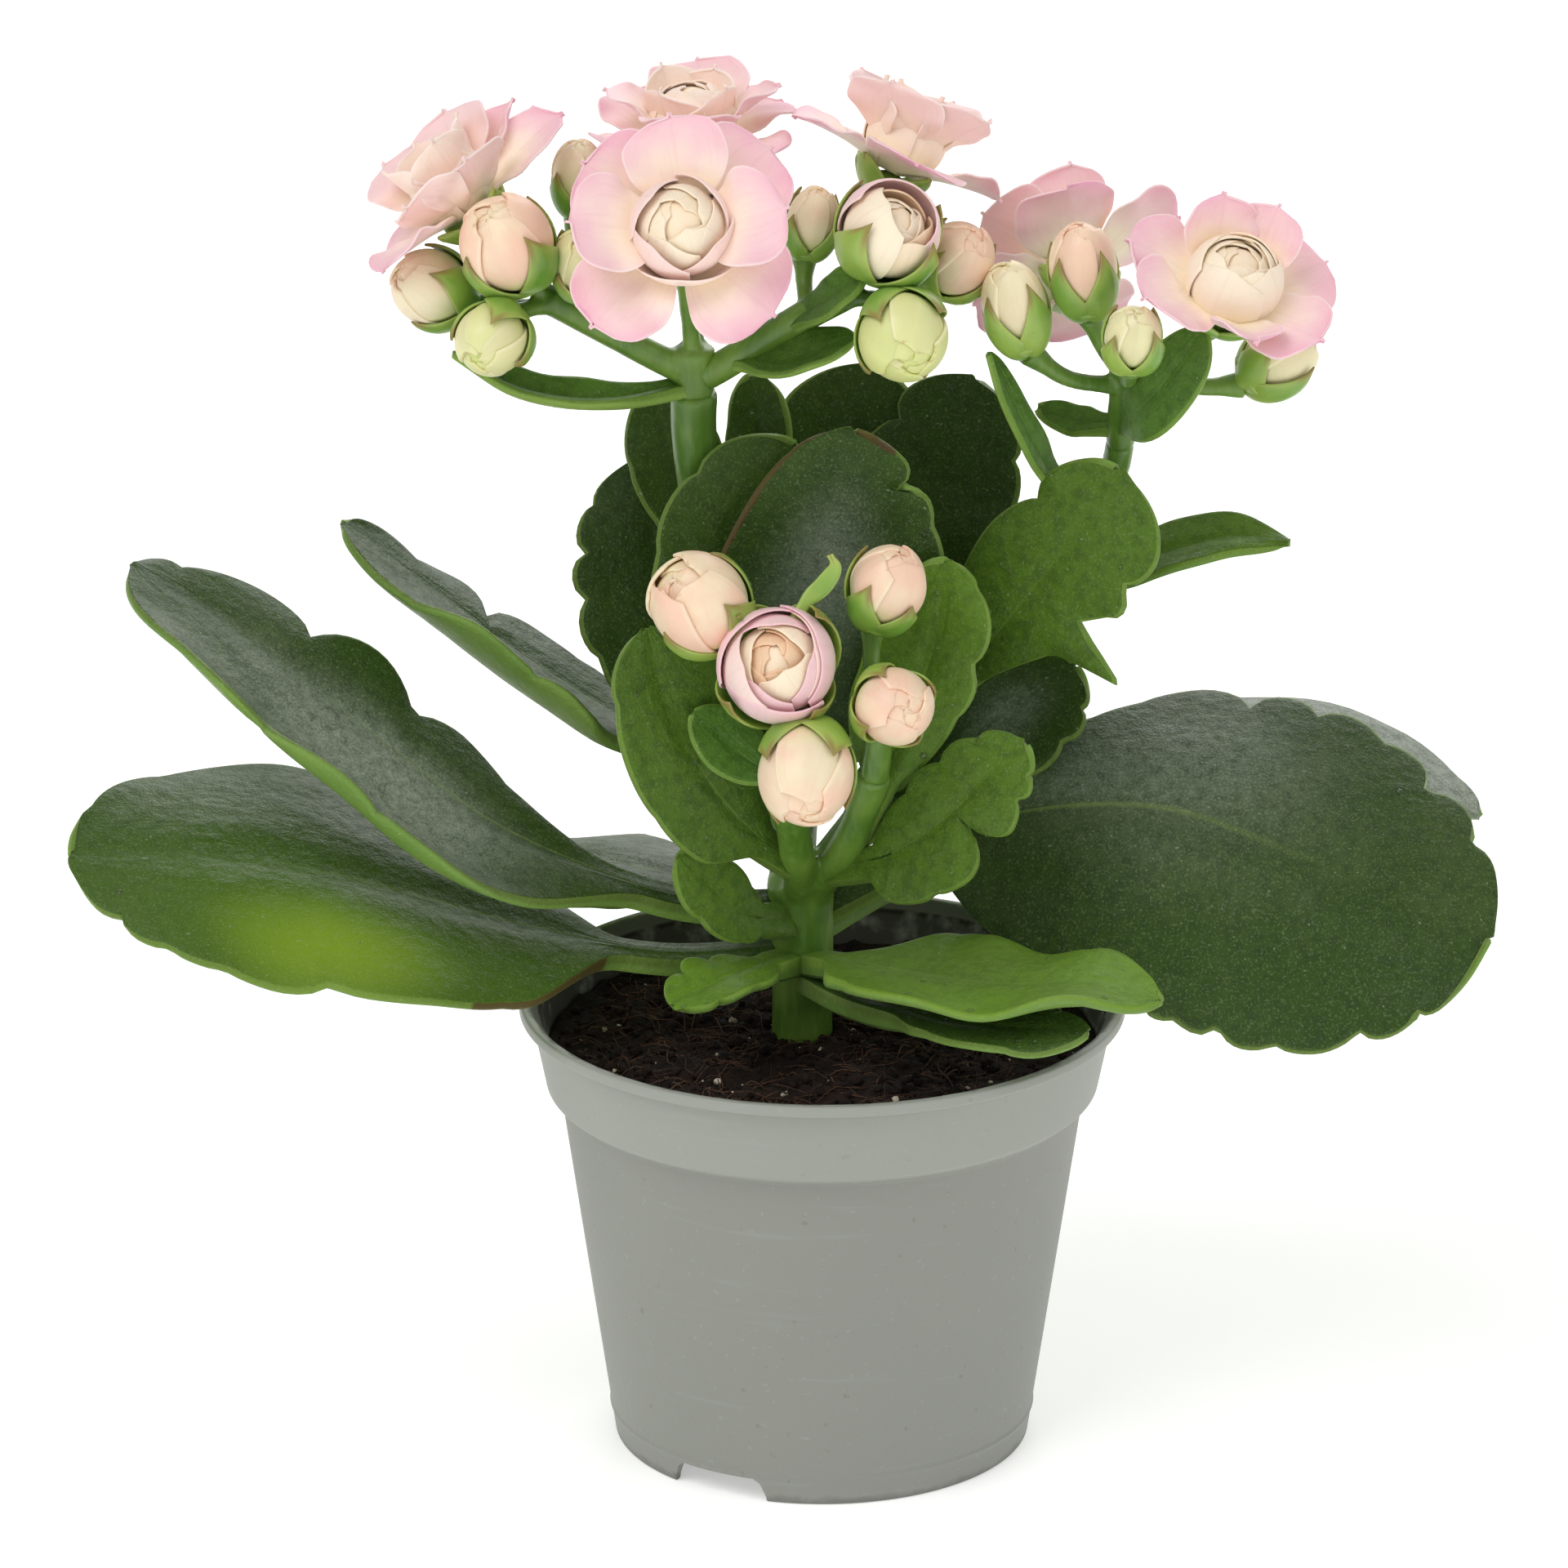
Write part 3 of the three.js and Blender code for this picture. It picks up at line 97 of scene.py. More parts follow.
# Leaves. rib: points of the midrib from the stem to the tip. face: the way the upper side looks, at the
# root and at the tip. wide: half widths, left and right of the rib. petiole: its share of the rib.
# belly: where the blade is widest. blunt: low for a round tip, high for a slender one. foot: how far up
# the blade narrows into its stalk. lobes, notch: scallops a side, and how deep the notches between them
# are. turn, ease: degrees by which the margins turn up, and how late they do. thick: at the rib.
LEAVES = {
    "leaf_lower_left": dict(
        rib=[[-2.2, -0.6, 51], [-16, -5, 52], [-29.5, -8, 56], [-46, -11, 62], [-60, -12, 65],
            [-73, -13, 65.5]],
        face=[[0, -0.25, 1], [0, -0.36, 0.93]], wide=[17, 17.5], petiole=0.22, belly=0.6, lobes=3,
        notch=[0.07, 0.05], turn=[-8, -14], thick=2,
    ),
    "leaf_upper_left": dict(
        rib=[[-2.2, -0.8, 56], [-12, -4, 57.2], [-19.5, -7, 60.3], [-32, -8, 66.6], [-44, -6, 75.4],
            [-57, -3, 85], [-67, 0, 91]],
        face=[[0.2, -0.4, 0.9], [0.5, -0.3, 0.8]], wide=[17, 9], petiole=0.22, belly=0.5, lobes=4,
        notch=[0.08, 0.14], turn=[80, 15], ease=[2.4, 1], thick=2.1,
    ),
    "leaf_big_right": dict(
        rib=[[-2.2, -0.8, 54.5], [6, 1, 58.5], [13, 1, 62.5], [22.5, 0, 65.5], [34, -3, 66.5],
            [45, -6, 63.5], [55, -9, 60], [65, -12, 56.5]],
        face=[[0, -0.5, 0.86], [0.1, -0.6, 0.8]], wide=[20, 20.5], petiole=0.2, belly=[0.62, 0.5],
        blunt=[0.5, 0.36], foot=[0.25, 0], lobes=5, notch=[0.08, 0.07], turn=[-16, -52], ease=[0.8, 0.6],
        thick=2.2,
    ),
    "leaf_mid_left": dict(
        rib=[[-4.5, 2, 66], [-15, 4, 70.3], [-21.5, 6, 73.2], [-33.5, 8, 81], [-43, 9, 88.6], [-47, 9, 92]],
        face=[[0.4, -0.1, 0.9], [0.56, -0.1, 0.82]], wide=[12.5, 6.5], petiole=0.2, belly=0.45, lobes=3,
        notch=[0.1, 0.2], turn=[75, 20], ease=[2, 1], thick=1.9,
    ),
    "leaf_far_right": dict(
        rib=[[-2.2, -0.8, 54], [7, 10, 56.5], [24, 26, 60.5], [40, 33, 62.2], [55, 34, 60],
            [66.5, 30, 53.8]],
        face=[[0, 0, 1], [0.3, -0.1, 0.95]], wide=[8, 9], petiole=0.2, belly=0.6, lobes=3,
        notch=[0.08, 0.08], turn=[-10, 10], thick=1.9,
    ),
    "leaf_front_right": dict(
        rib=[[-2, -0.7, 50], [2, -9, 52.5], [8, -16, 54], [17, -20.5, 54.5], [26, -23, 55.5],
            [32.5, -24, 54.5]],
        face=[[0, -0.1, 1], [0.1, -0.05, 1]], wide=[10, 9], petiole=0.15, belly=0.5, lobes=3,
        notch=[0.1, 0.14], turn=[10, 40], ease=[1, 2], thick=1.9,
    ),
    "leaf_front_left": dict(
        rib=[[-2, -0.7, 50], [-5, -6, 51.2], [-9, -10.5, 51.7], [-14.5, -15, 50.5]],
        face=[[0, -0.2, 1], [-0.2, -0.3, 0.9]], wide=[4.5, 4.5], petiole=0.3, belly=0.6, lobes=2,
        notch=[0.3, 0.3], turn=[20, 20], thick=1.6,
    ),
    "leaf_front_low": dict(
        rib=[[-2, -0.7, 48.3], [3, -10, 49], [10, -19, 50.5], [18.5, -24.5, 51.5], [25.5, -26.5, 52.3]],
        face=[[0, -0.1, 1], [0.2, -0.4, 0.9]], wide=[4, 4], petiole=0.4, belly=0.6, lobes=2,
        notch=[0.2, 0.2], turn=[10, 10], thick=1.6,
    ),
    "leaf_dark_right": dict(
        rib=[[2, 3, 61.2], [8, 5, 64.5], [17, 8, 71], [25, 11, 76.5]],
        face=[[-0.3, -0.6, 0.7], [-0.4, -0.75, 0.5]], wide=[7.5, 7.5], petiole=0.25, belly=0.6, lobes=3,
        notch=[0.14, 0.14], turn=[12, 12], thick=1.8,
    ),
    "leaf_back_left": dict(
        rib=[[-5.5, 2.7, 69.5], [-11.5, 6, 76], [-15, 8, 84], [-16.5, 10, 91.5], [-17, 11, 98]],
        face=[[0.2, -0.8, 0.5], [0, -0.9, 0.4]], wide=[9.5, 9], petiole=0.15, belly=0.5, lobes=4,
        notch=[0.12, 0.1], turn=[12, 12], thick=1.8,
    ),
    "leaf_stem_left": dict(
        rib=[[-10.3, 3.4, 88], [-13, 8, 95], [-15, 10, 100], [-16.5, 11, 105.5]],
        face=[[0.2, -0.9, 0.3], [0.1, -0.9, 0.4]], wide=[5, 5], petiole=0.12, belly=0.55, lobes=2,
        notch=[0.08, 0.08], turn=[20, 20], thick=1.6,
    ),
    "leaf_stem_right": dict(
        rib=[[-10.3, 3.4, 88], [-7, 6.2, 95], [-6, 7, 102], [-7, 8, 107.5]],
        face=[[-0.3, -0.9, 0.3], [-0.4, -0.8, 0.4]], wide=[4, 4], petiole=0.12, belly=0.55, lobes=2,
        notch=[0.06, 0.06], turn=[30, 30], thick=1.6,
    ),
    "leaf_centre_back": dict(
        rib=[[-7, 3.7, 76], [-3, 9, 84], [0, 12, 92], [3, 14, 99], [5.5, 15, 106]],
        face=[[-0.1, -0.8, 0.5], [0, -0.9, 0.4]], wide=[9, 8.5], petiole=0.15, belly=0.6, lobes=3,
        notch=[0.1, 0.1], turn=[12, 12], thick=1.8,
    ),
    "leaf_right_back": dict(
        rib=[[-5, 2.4, 68], [0, 5, 74], [5, 7, 83], [10, 8.5, 93], [13, 9.5, 101], [15, 10, 106.5]],
        face=[[-0.2, -0.8, 0.5], [-0.3, -0.85, 0.4]], wide=[8.5, 8.5], petiole=0.15, belly=0.72,
        lobes=3, notch=[0.13, 0.12], turn=[12, 12], thick=1.8,
    ),
    "leaf_right_low": dict(
        rib=[[8.5, 6.8, 69.5], [10.5, 7, 77], [14.5, 6.5, 85.5], [18.5, 7, 92.5]],
        face=[[-0.4, -0.8, 0.4], [-0.5, -0.8, 0.3]], wide=[6, 6], petiole=0.15, belly=0.6, lobes=2,
        notch=[0.12, 0.12], turn=[12, 12], thick=1.7,
    ),
    "leaf_centre_left": dict(
        rib=[[-6.7, 3.2, 75], [-8, -1.5, 82.5], [-9.5, -3, 90.5], [-7.5, -3.5, 97.8], [-2.5, -3.5, 104.2]],
        face=[[0.1, -0.9, 0.4], [0.1, -0.9, 0.4]], wide=[7.5, 8], petiole=0.15, belly=0.55, lobes=3,
        notch=[0.12, 0.08], turn=[16, 16], thick=1.8,
    ),
    "leaf_front_centre": dict(
        rib=[[-5, 2.4, 68.5], [-3, -4, 75.6], [-1, -6.5, 86], [1, -8.5, 97.4], [3, -9, 107.4]],
        face=[[0.1, -0.85, 0.5], [0.1, -0.92, 0.35]], wide=[11, 12], petiole=0.12, belly=0.5, lobes=3,
        notch=[0.03, 0.15], turn=[10, 10], thick=2,
    ),
    "leaf_upright_right": dict(
        rib=[[6, 6, 66], [11.5, 0, 76], [18, -3, 86], [24, -4, 94.5], [28.5, -4, 102]],
        face=[[-0.3, -0.85, 0.4], [-0.3, -0.9, 0.3]], wide=[7.5, 9], petiole=0.22, belly=[0.68, 0.72],
        lobes=3, notch=[0.12, 0.36], turn=[10, 10], thick=2,
    ),
    "leaf_narrow_right": dict(
        rib=[[20, 9, 84.5], [26, 8, 86.5], [33, 6, 89.5], [39.5, 4, 92], [45.5, 2, 92.5]],
        face=[[-0.2, -0.35, 0.9], [0, -0.35, 0.93]], wide=[4.2, 4.2], petiole=0.15, belly=0.5, blunt=0.9,
        turn=[25, 25], thick=1.6,
    ),
    "leaf_shoot_left": dict(
        rib=[[-2.4, -6.5, 62], [-7, -9.5, 66.5], [-12, -12, 74], [-15.5, -12.5, 82], [-17, -12.5, 88.5]],
        face=[[0.3, -0.85, 0.4], [0.25, -0.9, 0.35]], wide=[7, 7.5], petiole=0.12, belly=0.5, lobes=2,
        notch=[0.12, 0.08], turn=[14, 14], thick=1.9,
    ),
    "leaf_shoot_small": dict(
        rib=[[-2.2, -1.2, 54], [-8, -9, 58], [-14, -13.5, 65.5]],
        face=[[0.2, -0.85, 0.5], [0.2, -0.85, 0.5]], wide=[3.8, 3.8], petiole=0.25, belly=0.6, lobes=2,
        notch=[0.2, 0.2], turn=[14, 14], thick=1.7,
    ),
    "leaf_shoot_tall": dict(
        rib=[[2.5, -8, 65], [5.2, -9.5, 71], [8, -9.8, 78], [11, -10.5, 87], [12, -11, 95]],
        face=[[-0.1, -0.85, 0.5], [-0.2, -0.9, 0.35]], wide=[6.5, 5.5], petiole=0.15, belly=0.6,
        lobes=3, notch=[0.06, 0.16], turn=[14, 14], thick=1.9,
    ),
    "leaf_shoot_right": dict(
        rib=[[0.6, -4.8, 61], [6, -10, 64], [11.5, -13.5, 69], [15.5, -14.5, 73.5], [19.5, -14.5, 77.5]],
        face=[[-0.2, -0.85, 0.5], [-0.3, -0.85, 0.4]], wide=[5.5, 6.5], petiole=0.2, belly=0.6, lobes=3,
        notch=[0.16, 0.45], turn=[14, 14], thick=1.9,
    ),
    "leaf_behind_left": dict(
        rib=[[-2.2, 0, 53], [-12, 12, 52.5], [-24, 24, 51], [-36, 34, 47.5]],
        face=[[0, 0, 1], [-0.2, 0.2, 0.95]], wide=[12, 12], petiole=0.25, belly=0.6, lobes=3,
        notch=[0.08, 0.08], turn=[-10, -10], thick=1.9,
    ),
    "leaf_behind": dict(
        rib=[[-2.6, 0, 60], [-2, 14, 64], [-1, 30, 66], [0, 48, 61]], face=[[0, -0.2, 1], [0, 0.2, 1]],
        wide=[13, 13], petiole=0.22, belly=0.6, lobes=3, notch=[0.08, 0.08], turn=[12, 12],
        thick=1.9,
    ),
    "leaf_behind_right": dict(
        rib=[[-2, 0, 52.5], [8, 13, 53.5], [20, 25, 52.5], [32, 36, 48.5]],
        face=[[0, 0, 1], [0.2, 0.2, 0.95]], wide=[12, 12], petiole=0.25, belly=0.6, lobes=3,
        notch=[0.08, 0.08], turn=[-10, -10], thick=1.9,
    ),
}

# Bracts, as leaves. The first word of a name is the spray or the stem that carries it.
BRACTS = {
    "left": dict(
        rib=[[-12.5, -1, 109.5], [-21, -5, 109.3], [-29, -7, 111], [-35.5, -8, 115]],
        face=[[0, -0.3, 1], [0.3, -0.3, 0.9]], wide=[2.6, 2.6], turn=[60, 60],
    ),
    "middle": dict(
        rib=[[-8.6, -2.3, 112.6], [-3, -6, 113.5], [3, -7.5, 116.5]],
        face=[[-0.2, -0.4, 0.9], [-0.3, -0.4, 0.8]], wide=[3, 3], turn=[40, 40],
    ),
    "middle_upper": dict(
        rib=[[-3, -3.8, 116.8], [1, -7.5, 120.5], [4, -9, 123.5]],
        face=[[-0.4, -0.6, 0.7], [-0.4, -0.6, 0.7]], wide=[2.4, 2.4], turn=[30, 30],
    ),
    "stem_long": dict(
        rib=[[27, 7, 94], [22.5, 1, 99], [19.5, -3, 105.5], [16, -5, 114]],
        face=[[0.6, -0.5, 0.6], [0.7, -0.5, 0.3]], wide=[2, 2], turn=[30, 30],
    ),
    "right_round": dict(
        rib=[[29, 3.8, 104], [31, -4, 108.5], [34, -6.5, 113], [36.5, -7, 117]],
        face=[[-0.3, -0.9, 0.4], [-0.4, -0.9, 0.3]], wide=[3.4, 3.8], turn=[20, 20],
    ),
    "right_dark": dict(
        rib=[[29, 4, 103.8], [25, 6, 103.4], [21, 7, 104.6]], face=[[0, -0.5, 0.86], [0, -0.5, 0.86]],
        wide=[2, 2], turn=[20, 20],
    ),
    "front": dict(
        rib=[[-3.6, -14.9, 73.8], [-7.5, -13.8, 75.8], [-12.5, -14, 80.5]],
        face=[[0.3, -0.9, 0.4], [0.3, -0.9, 0.4]], wide=[3.2, 3.2], turn=[20, 20],
    ),
}

# Open flowers. at: the middle of the foot. axis: the way the flower looks. spin: its turn in degrees.
# heart: radius. joint: the branch of its spray that its stalk leaves, and how far along.
FLOWERS = {
    "flower_left": dict(
        spray="left", at=[-33.4, -2.4, 127], axis=[-0.62, 0.12, 0.76], spin=10, heart=2.9, joint=[1, 0.95],
    ),
    "flower_front": dict(
        spray="left", at=[-13.6, -10.5, 127], axis=[0, -0.82, 0.57], spin=45,
        heart=3.3, joint=[0, 0.8],
    ),
    "flower_back": dict(
        spray="left", at=[-12.5, 7, 129.5], axis=[-0.03, -0.05, 1], spin=40, heart=3.1, joint=[0, 0.7],
    ),
    "flower_middle": dict(
        spray="middle", at=[6.4, 5, 128.6], axis=[0.36, 0.22, 0.88], spin=12, heart=2.9, joint=[0, 0.95],
    ),
    "flower_half_open": dict(
        spray="middle", at=[5, -6.4, 124.4], axis=[0.4, -0.45, 0.8], spin=0, heart=3.5,
        joint=[0, 0.97],
    ),
    "flower_right": dict(
        spray="right", at=[38.4, -4.4, 118.2], axis=[0.26, -0.4, 0.88], spin=25,
        heart=3.1, joint=[0, 0.97],
    ),
    "flower_right_back": dict(
        spray="right", at=[25.5, 10.5, 116.4], axis=[-0.42, 0.8, 0.4], spin=0, heart=2.9, joint=[0, 0.55],
    ),
    "flower_rose": dict(
        spray="front", at=[-4.2, -18.4, 86.2], axis=[-0.05, -0.86, 0.5], spin=30, heart=3.3, joint=[0, 0.9],
    ),
}

# Buds. at: the middle. tall: height over width. axis: the way the tip looks. joint: as for flowers.
BUDS = {
    "bud_left_1": dict(
        spray="left", at=[-30.3, -8, 126], radius=4.5, tall=1.1, axis=[-0.35, -0.5, 0.8],
        joint=[1, 0.97],
    ),
    "bud_left_2": dict(
        spray="left", at=[-37.8, -4.5, 120.5], radius=3.6, tall=1.1, axis=[-0.8, -0.35, 0.45],
        joint=[1, 0.92],
    ),
    "bud_left_3": dict(
        spray="left", at=[-31.8, -11, 117.3], radius=3.4, tall=1.05, axis=[-0.4, -0.85, -0.3],
        joint=[1, 0.9],
    ),
    "bud_left_4": dict(
        spray="left", at=[-23.6, 3.5, 129.5], radius=2.5, tall=1.4, axis=[0.05, -0.1, 1],
        joint=[1, 0.85],
    ),
    "bud_left_5": dict(
        spray="left", at=[-23, -6.5, 123.7], radius=3, tall=1.3, axis=[-0.1, -0.6, 0.8],
        joint=[1, 0.75],
    ),
    "bud_middle_1": dict(
        spray="middle", at=[-1, 0, 126], radius=2.4, tall=1.4, axis=[0.2, -0.2, 1], joint=[0, 0.75],
    ),
    "bud_middle_2": dict(
        spray="middle", at=[13, -1, 122.3], radius=3.5, tall=1.1, axis=[0.45, -0.5, 0.75],
        joint=[0, 0.97],
    ),
    "bud_middle_3": dict(
        spray="middle", at=[7.6, -12.5, 118], radius=4.2, tall=1.05, axis=[0.1, -0.9, -0.3],
        joint=[0, 0.93],
    ),
    "bud_right_1": dict(
        spray="right", at=[18.4, -3.5, 118.5], radius=3.1, tall=1.45, axis=[-0.25, -0.15, 0.95],
        joint=[0, 0.6],
    ),
    "bud_right_2": dict(
        spray="right", at=[25, -2.5, 122], radius=3.2, tall=1.45, axis=[-0.12, -0.2, 0.97],
        joint=[0, 0.7],
    ),
    "bud_right_3": dict(
        spray="right", at=[29.6, -11, 117.6], radius=2.7, tall=1.2, axis=[0.05, -0.45, 0.9],
        joint=[0, 0.75],
    ),
    "bud_right_4": dict(
        spray="right", at=[44.3, 1.5, 111.5], radius=3.2, tall=1.2, axis=[0.75, -0.1, 0.65],
        joint=[0, 0.9],
    ),
    "bud_front_1": dict(
        spray="front", at=[-11.8, -18, 93], radius=4.6, tall=1.1, axis=[-0.5, -0.5, 0.7],
        joint=[0, 0.8],
    ),
    "bud_front_2": dict(
        spray="front_right", at=[6.2, -17, 94.5], radius=3.6, tall=1.2, axis=[0.3, -0.35, 0.9],
        joint=[0, 0.9],
    ),
    "bud_front_3": dict(
        spray="front_right", at=[6.8, -23.5, 84.5], radius=3.7, tall=1.05, axis=[0.3, -0.9, 0.25],
        joint=[0, 0.6],
    ),
    "bud_front_4": dict(
        spray="front", at=[-1.7, -25.5, 78.3], radius=4.6, tall=1.15, axis=[-0.05, -0.85, -0.5],
        joint=[0, 0.5],
    ),
}

# How ripe the younger buds are: below 0 they are green, and from RIPE on cream and peach.
RIPE = 0.7
RIPENESS = {
    "bud_left_2": 0.25, "bud_left_3": -0.3, "bud_left_4": 0.3, "bud_left_5": -0.2, "bud_middle_1": 0.3,
    "bud_middle_3": -0.25, "bud_right_1": 0.15, "bud_right_3": 0.05, "bud_right_4": 0.1,
}

# Buds whose outer petals have begun to open, and how far these stand out.
LOOSE = {"bud_front_1": 0.13, "bud_left_1": 0.03}

# The long curled sepal beside the rose.
CURLED_SEPAL = dict(
    rib=[[-2.9, -20.3, 91.6], [-1.6, -19.4, 93.8], [0.1, -19.2, 95.4], [1.1, -19.3, 97.2],
        [0.6, -19.6, 98.5]],
    face=[[0.5, -0.8, 0.3], [-0.2, -0.9, 0.3]], wide=(0.95, 0.95), turn=(30, 30),
)

# How each leaf looks. tone: below 0 a grey bloom, partly real wax and partly painted sheen, 0 dark green,
# 1 bright green. glow: a patch of painted light added to the tone, below 0 a painted sheen and above 0 a
# painted yellow-green glow of light through the blade, with what it adds, its place along the blade, its
# place across from -1 to 1, and its size.
# skin: whose greens it takes where these aren't its slot's. ripple: how far its margins wave, in
# millimetres. groove: how deep its rib lies. grain: the fineness of its mesh. beads: its water drops.
# foot, belly, blunt: as in LEAVES, one value or one a side. cuts: the notches of the left and the right
# margin, each with its place along the blade and its depth as a share of the half width. teeth: those
# of each margin, with place, height, and half its own length. scorch: brown stretches of margin, each
# with its side, its start and end along the blade, and how far in it reaches.
LEAF_LOOKS = {
    "leaf_lower_left": dict(
        tone=0.3, glow=(1.05, 0.58, -0.66, 1.45), skin="dark", ripple=0.6, grain=1.4, beads=5, groove=0.6,
        scorch=[(0, 0.1, 0.33, 0.03)], cuts=(
            [(0.29, 0.03), (0.59, 0.13), (0.76, 0.04), (0.86, 0.06), (0.94, 0.12)],
            [(0.5, 0.02), (0.83, 0.04), (0.97, 0.05)])),
    "leaf_upper_left": dict(
        tone=0.0, glow=(-0.85, 0.5, -0.3, 1), ripple=0.6, grain=1.5, foot=0.4, groove=0.7, cuts=(
            [(0.25, 0.03), (0.48, 0.08), (0.71, 0.18), (0.86, 0.06)],
            [(0.25, 0.06), (0.45, 0.42), (0.67, 0.42), (0.94, 0.2)])),
    "leaf_big_right": dict(
        tone=0.0, glow=(-0.5, 0.4, -0.4, 1), belly=(0.58, 0.5), blunt=(0.58, 0.36), foot=(0.5, 0),
        ripple=0.7, grain=1.7, beads=4, groove=0.9, cuts=(
            [(0.35, 0.04), (0.51, 0.14), (0.61, 0.1), (0.72, 0.08), (0.83, 0.2), (0.93, 0.16)],
            [(0.45, 0.05), (0.53, 0.04), (0.6, 0.1), (0.72, 0.06), (0.86, 0.1), (0.95, 0.09)])),
    "leaf_mid_left": dict(
        tone=-0.02, ripple=0.4, grain=1.2, cuts=(
            [(0.45, 0.08), (0.8, 0.14)], [(0.3, 0.1), (0.55, 0.6), (0.78, 0.14)])),
    "leaf_far_right": dict(
        tone=-0.6, glow=(-1.2, 0.6, -0.2, 1), ripple=0.5, cuts=(
            [(0.5, 0.06), (0.7, 0.1), (0.83, 0.14), (0.94, 0.12)], [(0.6, 0.08), (0.84, 0.1)])),
    "leaf_front_right": dict(
        tone=0.95, glow=(-0.4, 0.5, 0.0, 1), ripple=0.8, beads=14, cuts=(
            [(0.45, 0.04), (0.82, 0.1)], [(0.23, 0.14), (0.55, 0.06), (0.82, 0.12)])),
    "leaf_front_left": dict(
        tone=0.7, ripple=0.2, beads=2, cuts=(
            [(0.5, 0.1), (0.82, 0.3)], [(0.42, 0.28), (0.72, 0.42)])),
    "leaf_front_low": dict(tone=0.35, ripple=0.2, beads=26),
    "leaf_dark_right": dict(
        tone=0.1, glow=(-0.6, 0.6, 0.0, 1), ripple=0.3, cuts=(
            [(0.45, 0.1), (0.78, 0.16)], [(0.4, 0.12), (0.7, 0.18), (0.9, 0.14)])),
    "leaf_back_left": dict(
        tone=0.05, ripple=0.3, cuts=(
            [(0.42, 0.1), (0.6, 0.16), (0.74, 0.16), (0.88, 0.1)], [(0.5, 0.08), (0.8, 0.1)])),
    "leaf_front_centre": dict(
        tone=0.1, glow=(-0.65, 0.6, 0.0, 1), ripple=0.4, grain=1.3, beads=3,
        scorch=[(0, 0.45, 1.0, 0.05), (1, 0.985, 1.0, 0.5)], cuts=(
            [(0.93, 0.02)], [(0.5, 0.05), (0.78, 0.06), (0.9, 0.34)])),
    "leaf_right_back": dict(
        tone=0.0, ripple=0.3, beads=2, cuts=(
            [(0.5, 0.06), (0.86, 0.24)], [(0.55, 0.1), (0.84, 0.14)])),
    "leaf_upright_right": dict(
        tone=0.15, ripple=0.3, grain=1.3, beads=3, foot=(0.3, 0.62), teeth=((), [(0.52, 7.0, 0.09)]),
        cuts=([(0.4, 0.04), (0.83, 0.26)], [(0.36, 0.0), (0.6, 0.42), (0.72, 0.3)])),
    "leaf_narrow_right": dict(tone=0.3, ripple=0.2),
    "leaf_shoot_left": dict(
        tone=0.15, ripple=0.2, beads=4, cuts=([(0.45, 0.05), (0.81, 0.12)], [(0.6, 0.06)])),
    "leaf_shoot_small": dict(tone=0.3, ripple=0.1),
    "leaf_shoot_tall": dict(
        tone=0.4, ripple=0.2, beads=3, cuts=(
            [(0.5, 0.04), (0.86, 0.06)], [(0.42, 0.1), (0.62, 0.3), (0.91, 0.12)])),
    "leaf_shoot_right": dict(
        tone=0.3, ripple=0.2, grain=1.5, beads=3, foot=(0.2, 0.1), belly=(0.62, 0.45), cuts=(
            [(0.42, 0.1), (0.7, 0.2), (0.88, 0.24)],
            [(0.28, 0.1), (0.56, 0.78), (0.82, 0.3), (0.93, 0.2)])),
    "leaf_centre_left": dict(tone=0.3, ripple=0.3),
    "leaf_stem_left": dict(tone=0.35, ripple=0.3),
    "leaf_stem_right": dict(tone=0.4, ripple=0.3),
}
PLAIN_LEAF = dict(tone=0.1, ripple=0.3, groove=0.4)
LEAF_FOOT = 0.25
BLADE_LOOKS = ("tone", "glow", "groove", "belly", "blunt", "foot", "cuts", "teeth")
BRIGHT_LEAVES = {
    "leaf_lower_left", "leaf_upright_right", "leaf_shoot_right", "leaf_shoot_tall", "leaf_shoot_small",
    "leaf_narrow_right", "leaf_front_right", "leaf_front_left", "leaf_shoot_left",
}

# Scallops begin this far up a blade, those without a place of their own lie above FIRST_NOTCH, and a
# lobe is rounder the lower LOBE_CURVE is.
SCALLOP_START = 0.14
FIRST_NOTCH = 0.3
LOBE_CURVE = 0.42

# The rounded rim of a blade has a row of points at each of these angles.
RIM_ANGLES = (0.8, 0, -0.8)

# Whorls of open petals: the way each petal points in degrees, length, half width, where the foot stands
# (out and up), the rise in degrees at the foot and at the tip, how far its sides turn up, and pinkness
# from 0 for cream. blunt is as for leaves, and roll is how far a petal leans over to one side.
OUTER = dict(
    turns=(0, 90, 180, 270), length=10.2, wide=5.4, start=(1.4, 1.1), rise=(18, -4), curl=(2, 22),
    pink=0.95,
)
SECOND = dict(
    turns=(45, 135, 225, 315), length=9.3, wide=4.9, start=(1.5, 2.2), rise=(42, 10), curl=(4, 26),
    pink=0.75,
)
RAISED = {**SECOND, "rise": (60, 38), "length": 9.4, "wide": 5.2, "pink": 0.44, "blunt": 0.58}
CROWN = dict(
    turns=(8, 98, 188, 278), length=7.6, wide=4.2, start=(1.9, 2.0), rise=(66, 74), curl=(26, 46),
    pink=0.24, blunt=0.6,
)
FRONT_OUTER = {**OUTER, "length": 11.1, "wide": 5.7}
FRONT_SECOND = {**SECOND, "turns": (45, 135, 315), "length": 10.4, "wide": 5.3}
LEFT_OUTER = {**OUTER, "turns": (90, 155, 200)}
LEFT_FRONT = {**OUTER, "turns": (236, 292), "rise": (36, 50), "length": 7.4, "curl": (18, 30), "pink": 0.36}
LEFT_RAISED = {**RAISED, "turns": (45, 130)}
LEFT_SAIL = {
    **OUTER, "turns": (0,), "length": 11.8, "wide": 3.5, "rise": (12, 2), "curl": (44, 52), "roll": -0.8,
    "blunt": 0.75,
}
LEFT_FLAG = {**LEFT_SAIL, "turns": (22,), "rise": (30, 26), "length": 11.0, "wide": 2.9, "roll": -0.3}
